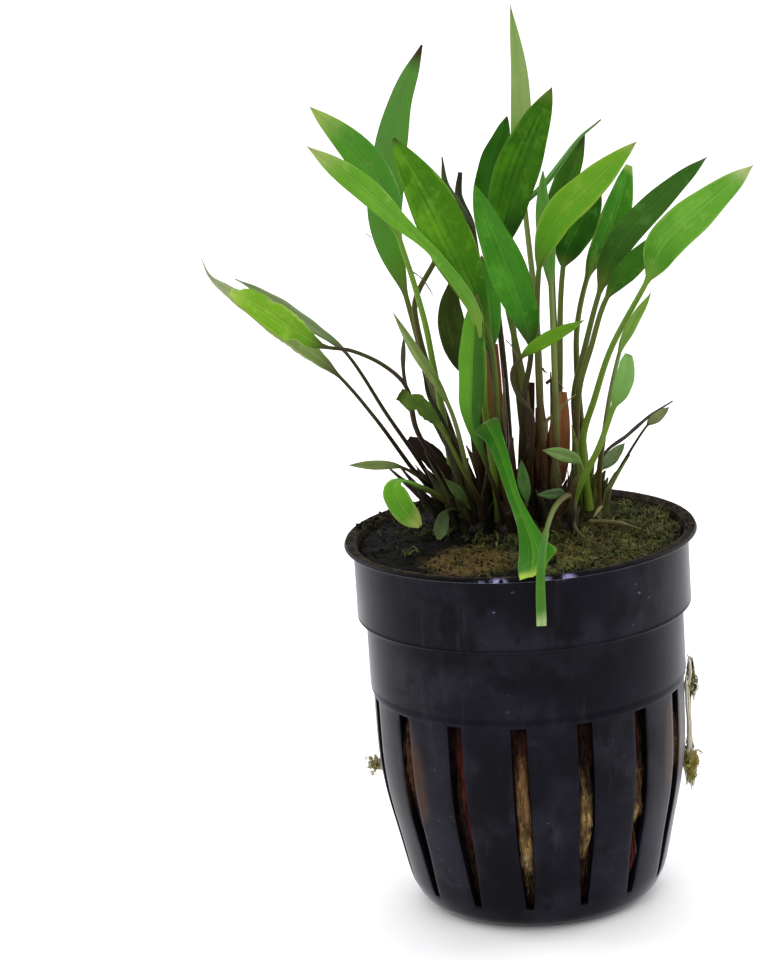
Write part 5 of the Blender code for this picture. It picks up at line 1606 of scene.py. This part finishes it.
# Old sheaths that stand free: seat, lean to the right and to the back, height above the seat
OLD_SHEATHS = {
    1: [(6, 0, -1.5, 6), (7, 1, -1.5, 9)],
    2: [(8, 1, 0.5, 12)],
    3: [(3, -1, 2.5, 15), (4, -2.5, 0, 10), (7, 0.5, -1.5, 17)],
    4: [(0, 0.5, -0.5, 14)],
    5: [(0, 0.5, 0.5, 19), (6, 0, -1.5, 12)],
    6: [(0, 0, 0, 11), (4, -1, 0, 5), (7, 2, -2, 8)],
    7: [(5, -0.5, -1.5, 14)],
}


# %% Lines of a sheath and of a round stem
def sheath(places, away, width, lift, phase, tone):
    """A half tube of dead skin along some places, on the side that away points to, and torn at its end."""
    line, last = [], len(places) - 1
    for index, place in enumerate(places):
        share = index / last
        way = (places[min(last, index + 1)] - places[max(0, index - 1)]).normalized()
        face = (away - away.dot(way) * way).normalized()
        torn = [1 + 0.5 * noise.noise(Vector((share * 3, side, phase))) for side in (2.0, 7.0)]
        halves = [through(SHEATH_WIDTH, share) * width * part for part in torn]
        line.append(station(place + face * lift * (1 - 0.4 * share), way, face, halves, SHEATH_THICKNESS,
                            1.0, SHEATH_FOLD, 0.62 + 0.36 * share, phase, tone))
    return line


def round_stem(thick, tone, points, phase):
    """A stem that is round all the way, through points in millimetres."""
    points = [Vector(point) * MM for point in points]
    route, _ = curve_through(points, (points[1] - points[0]).normalized())
    last = len(route) - 1
    shares = even_shares(length_of(route, 0, last), STEM_STEP, *STALK_STATIONS)
    found = stations(route, 0, last, shares)
    faces = facing([way for place, way in found], 0.0)
    line = []
    for (place, way), face, share in zip(found, faces, shares):
        knots = 1 + 0.3 * noise.noise(Vector((share * 9, phase, thick)))
        half = thick * knots * (1 - 0.8 * max(0.0, share - 0.6) / 0.4) * MM / 2
        line.append(station(place, way, face, (half, half), 2 * half, along=0.7 + 0.2 * share, phase=phase,
                            tone=tone))
    return line


# %% Sheaths and old stems of a crown
def leaf_sheath(chance, leaf, axis):
    """What is left of the sheath round a leaf's stalk."""
    route, neck = leaf_route(leaf)
    foot = route[0].copy()
    away = Vector((foot.x - axis.x, foot.y - axis.y, 0))
    if away.length < MM:
        away = Vector((chance.uniform(-1, 1), -1, 0))
    away.normalize()
    share = min(0.9, chance.uniform(4, 13) * MM / length_of(route, 0, neck))
    places = [foot + Vector((0, 0, SOIL_LEVEL * MM - foot.z))]
    places += [place for place, way in stations(route, 0, neck, [share * step / 7 for step in range(8)])]
    stout = max(0.7, leaf.stout)
    width = chance.uniform(0.8, 1.15) * stout * MM
    return sheath(places, away, width, 0.62 * stout * MM, chance.uniform(0, 9), chance.random())


def low_sheath(chance, axis):
    """A torn sheath that leans out from the crown's foot."""
    bearing = chance.uniform(0, 2 * math.pi)
    out = Vector((math.cos(bearing), math.sin(bearing), 0))
    foot = axis + out * chance.uniform(2.0, 3.0) * MM + UPWARDS * SOIL_LEVEL * MM
    tall = chance.uniform(3.5, 9) * MM
    lean = chance.uniform(0.2, 1.8) * MM
    places = [foot + UPWARDS * tall * step / 6 + out * lean * (step / 6) ** 1.7 for step in range(7)]
    return sheath(places, out, chance.uniform(0.7, 1.3) * MM, 0.1 * MM, chance.uniform(0, 9),
                  chance.uniform(0.2, 1.0))


def old_stem(chance, x, y, lean, shortest, tallest, phase):
    """A bare stem that rises from the crown's foot."""
    bearing = chance.uniform(0, 2 * math.pi)
    reach = chance.uniform(0.4, 2.7)
    tall = chance.uniform(shortest, tallest)
    foot = Vector((x + reach * math.cos(bearing), y + reach * math.sin(bearing), SOIL_LEVEL))
    tip = Vector(((lean + chance.gauss(0, 0.1)) * tall, chance.uniform(-0.15, 0.25) * tall, tall))
    points = [foot, foot + Vector((0.35 * tip.x, 0.35 * tip.y, 0.45 * tall)), foot + tip]
    return round_stem(chance.uniform(0.5, 1.25), 0.65 * chance.random(), points, phase)


def free_sheath(chance, number, axis, seat, right, back, tall):
    """An old sheath that stands on a seat of the crown without its leaf."""
    foot = seat_place(number, seat)
    out = Vector((foot.x - axis.x, foot.y - axis.y - 0.5 * MM, 0)).normalized()
    places = [foot + Vector((right * share ** 1.5, back * share ** 1.5, -2.5 + (tall + 2.5) * share)) * MM
              for share in (step / 9 for step in range(10))]
    return sheath(places, out, 0.95 * MM, 0.2 * MM, chance.uniform(0, 9), chance.uniform(0.0, 0.7))


def crown_lines(number):
    """The stem in the middle of a crown, and all that stands round it."""
    chance = random.Random(40 + number)
    x, y = CROWNS[number]
    axis = Vector((x, y, 0)) * MM
    lines = [[station(axis + UPWARDS * height * MM, UPWARDS, FRONT, (radius * MM, radius * MM),
                      2 * radius * MM, along=0.7, tone=0.8) for height, radius in CORE]]
    lines += [leaf_sheath(chance, leaf, axis) for leaf in LEAVES if leaf.crown == number]
    lines += [low_sheath(chance, axis) for _ in range(LOW_SHEATHS)]
    *leaning, count = OLD_STEMS[number]
    lines += [old_stem(chance, x, y, *leaning, float(index)) for index in range(count)]
    lines += [free_sheath(chance, number, axis, *row) for row in OLD_SHEATHS[number]]
    return lines


# %% Grow the crowns
CROWN_SHINE = 0.2
CROWN_RELIEF = 0.12 * MM


def crown_piece(name, number, lines, look, values):
    """A piece of stems and sheaths that takes a crown's place."""
    piece = grow(LEAF_TREE, bare_lines(name, lines), {"Groove": 0.0, "Skin": look, **values})
    face_outwards(piece)
    dress(piece, "crown_%d" % number)
    return piece


def make_crown(number):
    fresh, old = CROWN_COLOURS[number]
    look = look_from_group("crown_%d" % number, LEAF_SKIN, CROWN_SHINE, CROWN_RELIEF, {
        "Blade": srgb(*fresh), "Shade": srgb(*old), "Margin": srgb(*mixed(fresh, (150, 130, 90), 0.35)),
        "Tip": srgb(*mixed(fresh, (110, 96, 64), 0.4)), "Foot": srgb(*mixed(old, (0, 0, 0), 0.4)),
        "Tip share": 0.2, "Margin share": 0.2, "Mottle": 0.55, "Spots": 0.6, "Halves": 0.0,
    }, {"UV": "Across and along", "tone": "Tone"})
    return crown_piece("crown_%d_fine" % number, number, crown_lines(number), look, {
        "Points round": 12, "Ripple": 0.12 * MM, "Ripples": 5.0, "Arch": 0.55})


crown_pieces = [make_crown(number) for number in CROWNS]
print("crown faces:", [len(piece.data.polygons) for piece in crown_pieces])

# %% [markdown]
# Between the leaves hang and lie loose things: hair-thin threads, old stems and fallen stalks. They are round
# all the way, which the leaf tree can do as well. Each lies at a crown, so it takes that crown's place, and
# its tone runs from pale straw to dark brown.

# %% Loose stems and threads
# For a crown: how thick, how dark, and the points that the stem passes through
LOOSE_STEMS = {
    1: [(0.2, 0.5, [(-14.3, 9, 98.9), (-13.1, 9, 97.9), (-12, 9.5, 96.1), (-10.9, 10, 93.6)]),
        (0.15, 0.6, [(-20.6, 16, 103.4), (-21.4, 16, 104.0), (-22.1, 16, 104.1)])],
    3: [(0.2, 0.4, [(-0.5, 6, 87.9), (0.4, 5, 87), (1.3, 4, 85.2), (1.7, 4, 84.1)]),
        (1.1, 0.35, [(-2.2, 8.5, 60), (-1.9, 7.5, 71), (-1.4, 7.5, 77), (-1.1, 7.5, 81.5)])],
    5: [(0.9, 0.85, [(2.1, 4.3, 58.5), (2.1, 4, 67.5), (2.2, 4, 72.3), (2.2, 4.2, 78.4)]),
        (1.1, 0.9, [(3.6, 5.2, 58.5), (3.8, 5, 67.5), (4.3, 5, 73), (4.7, 5, 78)]),
        (0.3, 0.8, [(4.9, 3, 83.8), (5.2, 3, 83.2), (5.7, 3, 83.1)])],
    6: [(0.75, 0.45, [(11, 1.8, 59.3), (14.6, -0.2, 59.4), (18.6, -4.1, 59.2)]),
        (0.6, 0.55, [(8.2, 6, 59.6), (8.3, -0.1, 59.7), (8.8, -4.5, 59.6), (9.9, -8.1, 59.2)])],
    7: [(0.55, 0.1, [(4.7, 4, 72.2), (5.1, 3.5, 75.3), (6.3, 3, 76.3), (8.2, 2.5, 78.3), (9.8, 2, 79.6)]),
        (0.5, 0.85, [(5.3, 3, 81.3), (6.1, 3, 81.9), (6.8, 3, 81.6), (8, 3, 80.3)]),
        (0.8, 0.2, [(14, 10, 61.2), (12.8, 6.5, 60.4), (11.6, 3.5, 59.5)])],
}


def make_loose_stems(number):
    name = "loose_stems_%d" % number
    look = look_from_group(name, LEAF_SKIN, CROWN_SHINE, LEAF_RELIEF, {
        "Blade": srgb(142, 140, 88), "Shade": srgb(52, 26, 20), "Margin": srgb(136, 130, 84),
        "Tip": srgb(104, 98, 60), "Foot": srgb(40, 28, 16), "Tip share": 0.1, "Margin share": 0.05,
        "Mottle": 0.3, "Halves": 0.0,
    }, {"UV": "Across and along", "tone": "Tone"})
    lines = [round_stem(*stem, float(index)) for index, stem in enumerate(LOOSE_STEMS[number])]
    return crown_piece(name, number, lines, look, {"Points round": 10, "Ripple": 0.0})


loose_pieces = [make_loose_stems(number) for number in LOOSE_STEMS]
print("pieces of loose stems:", len(loose_pieces))
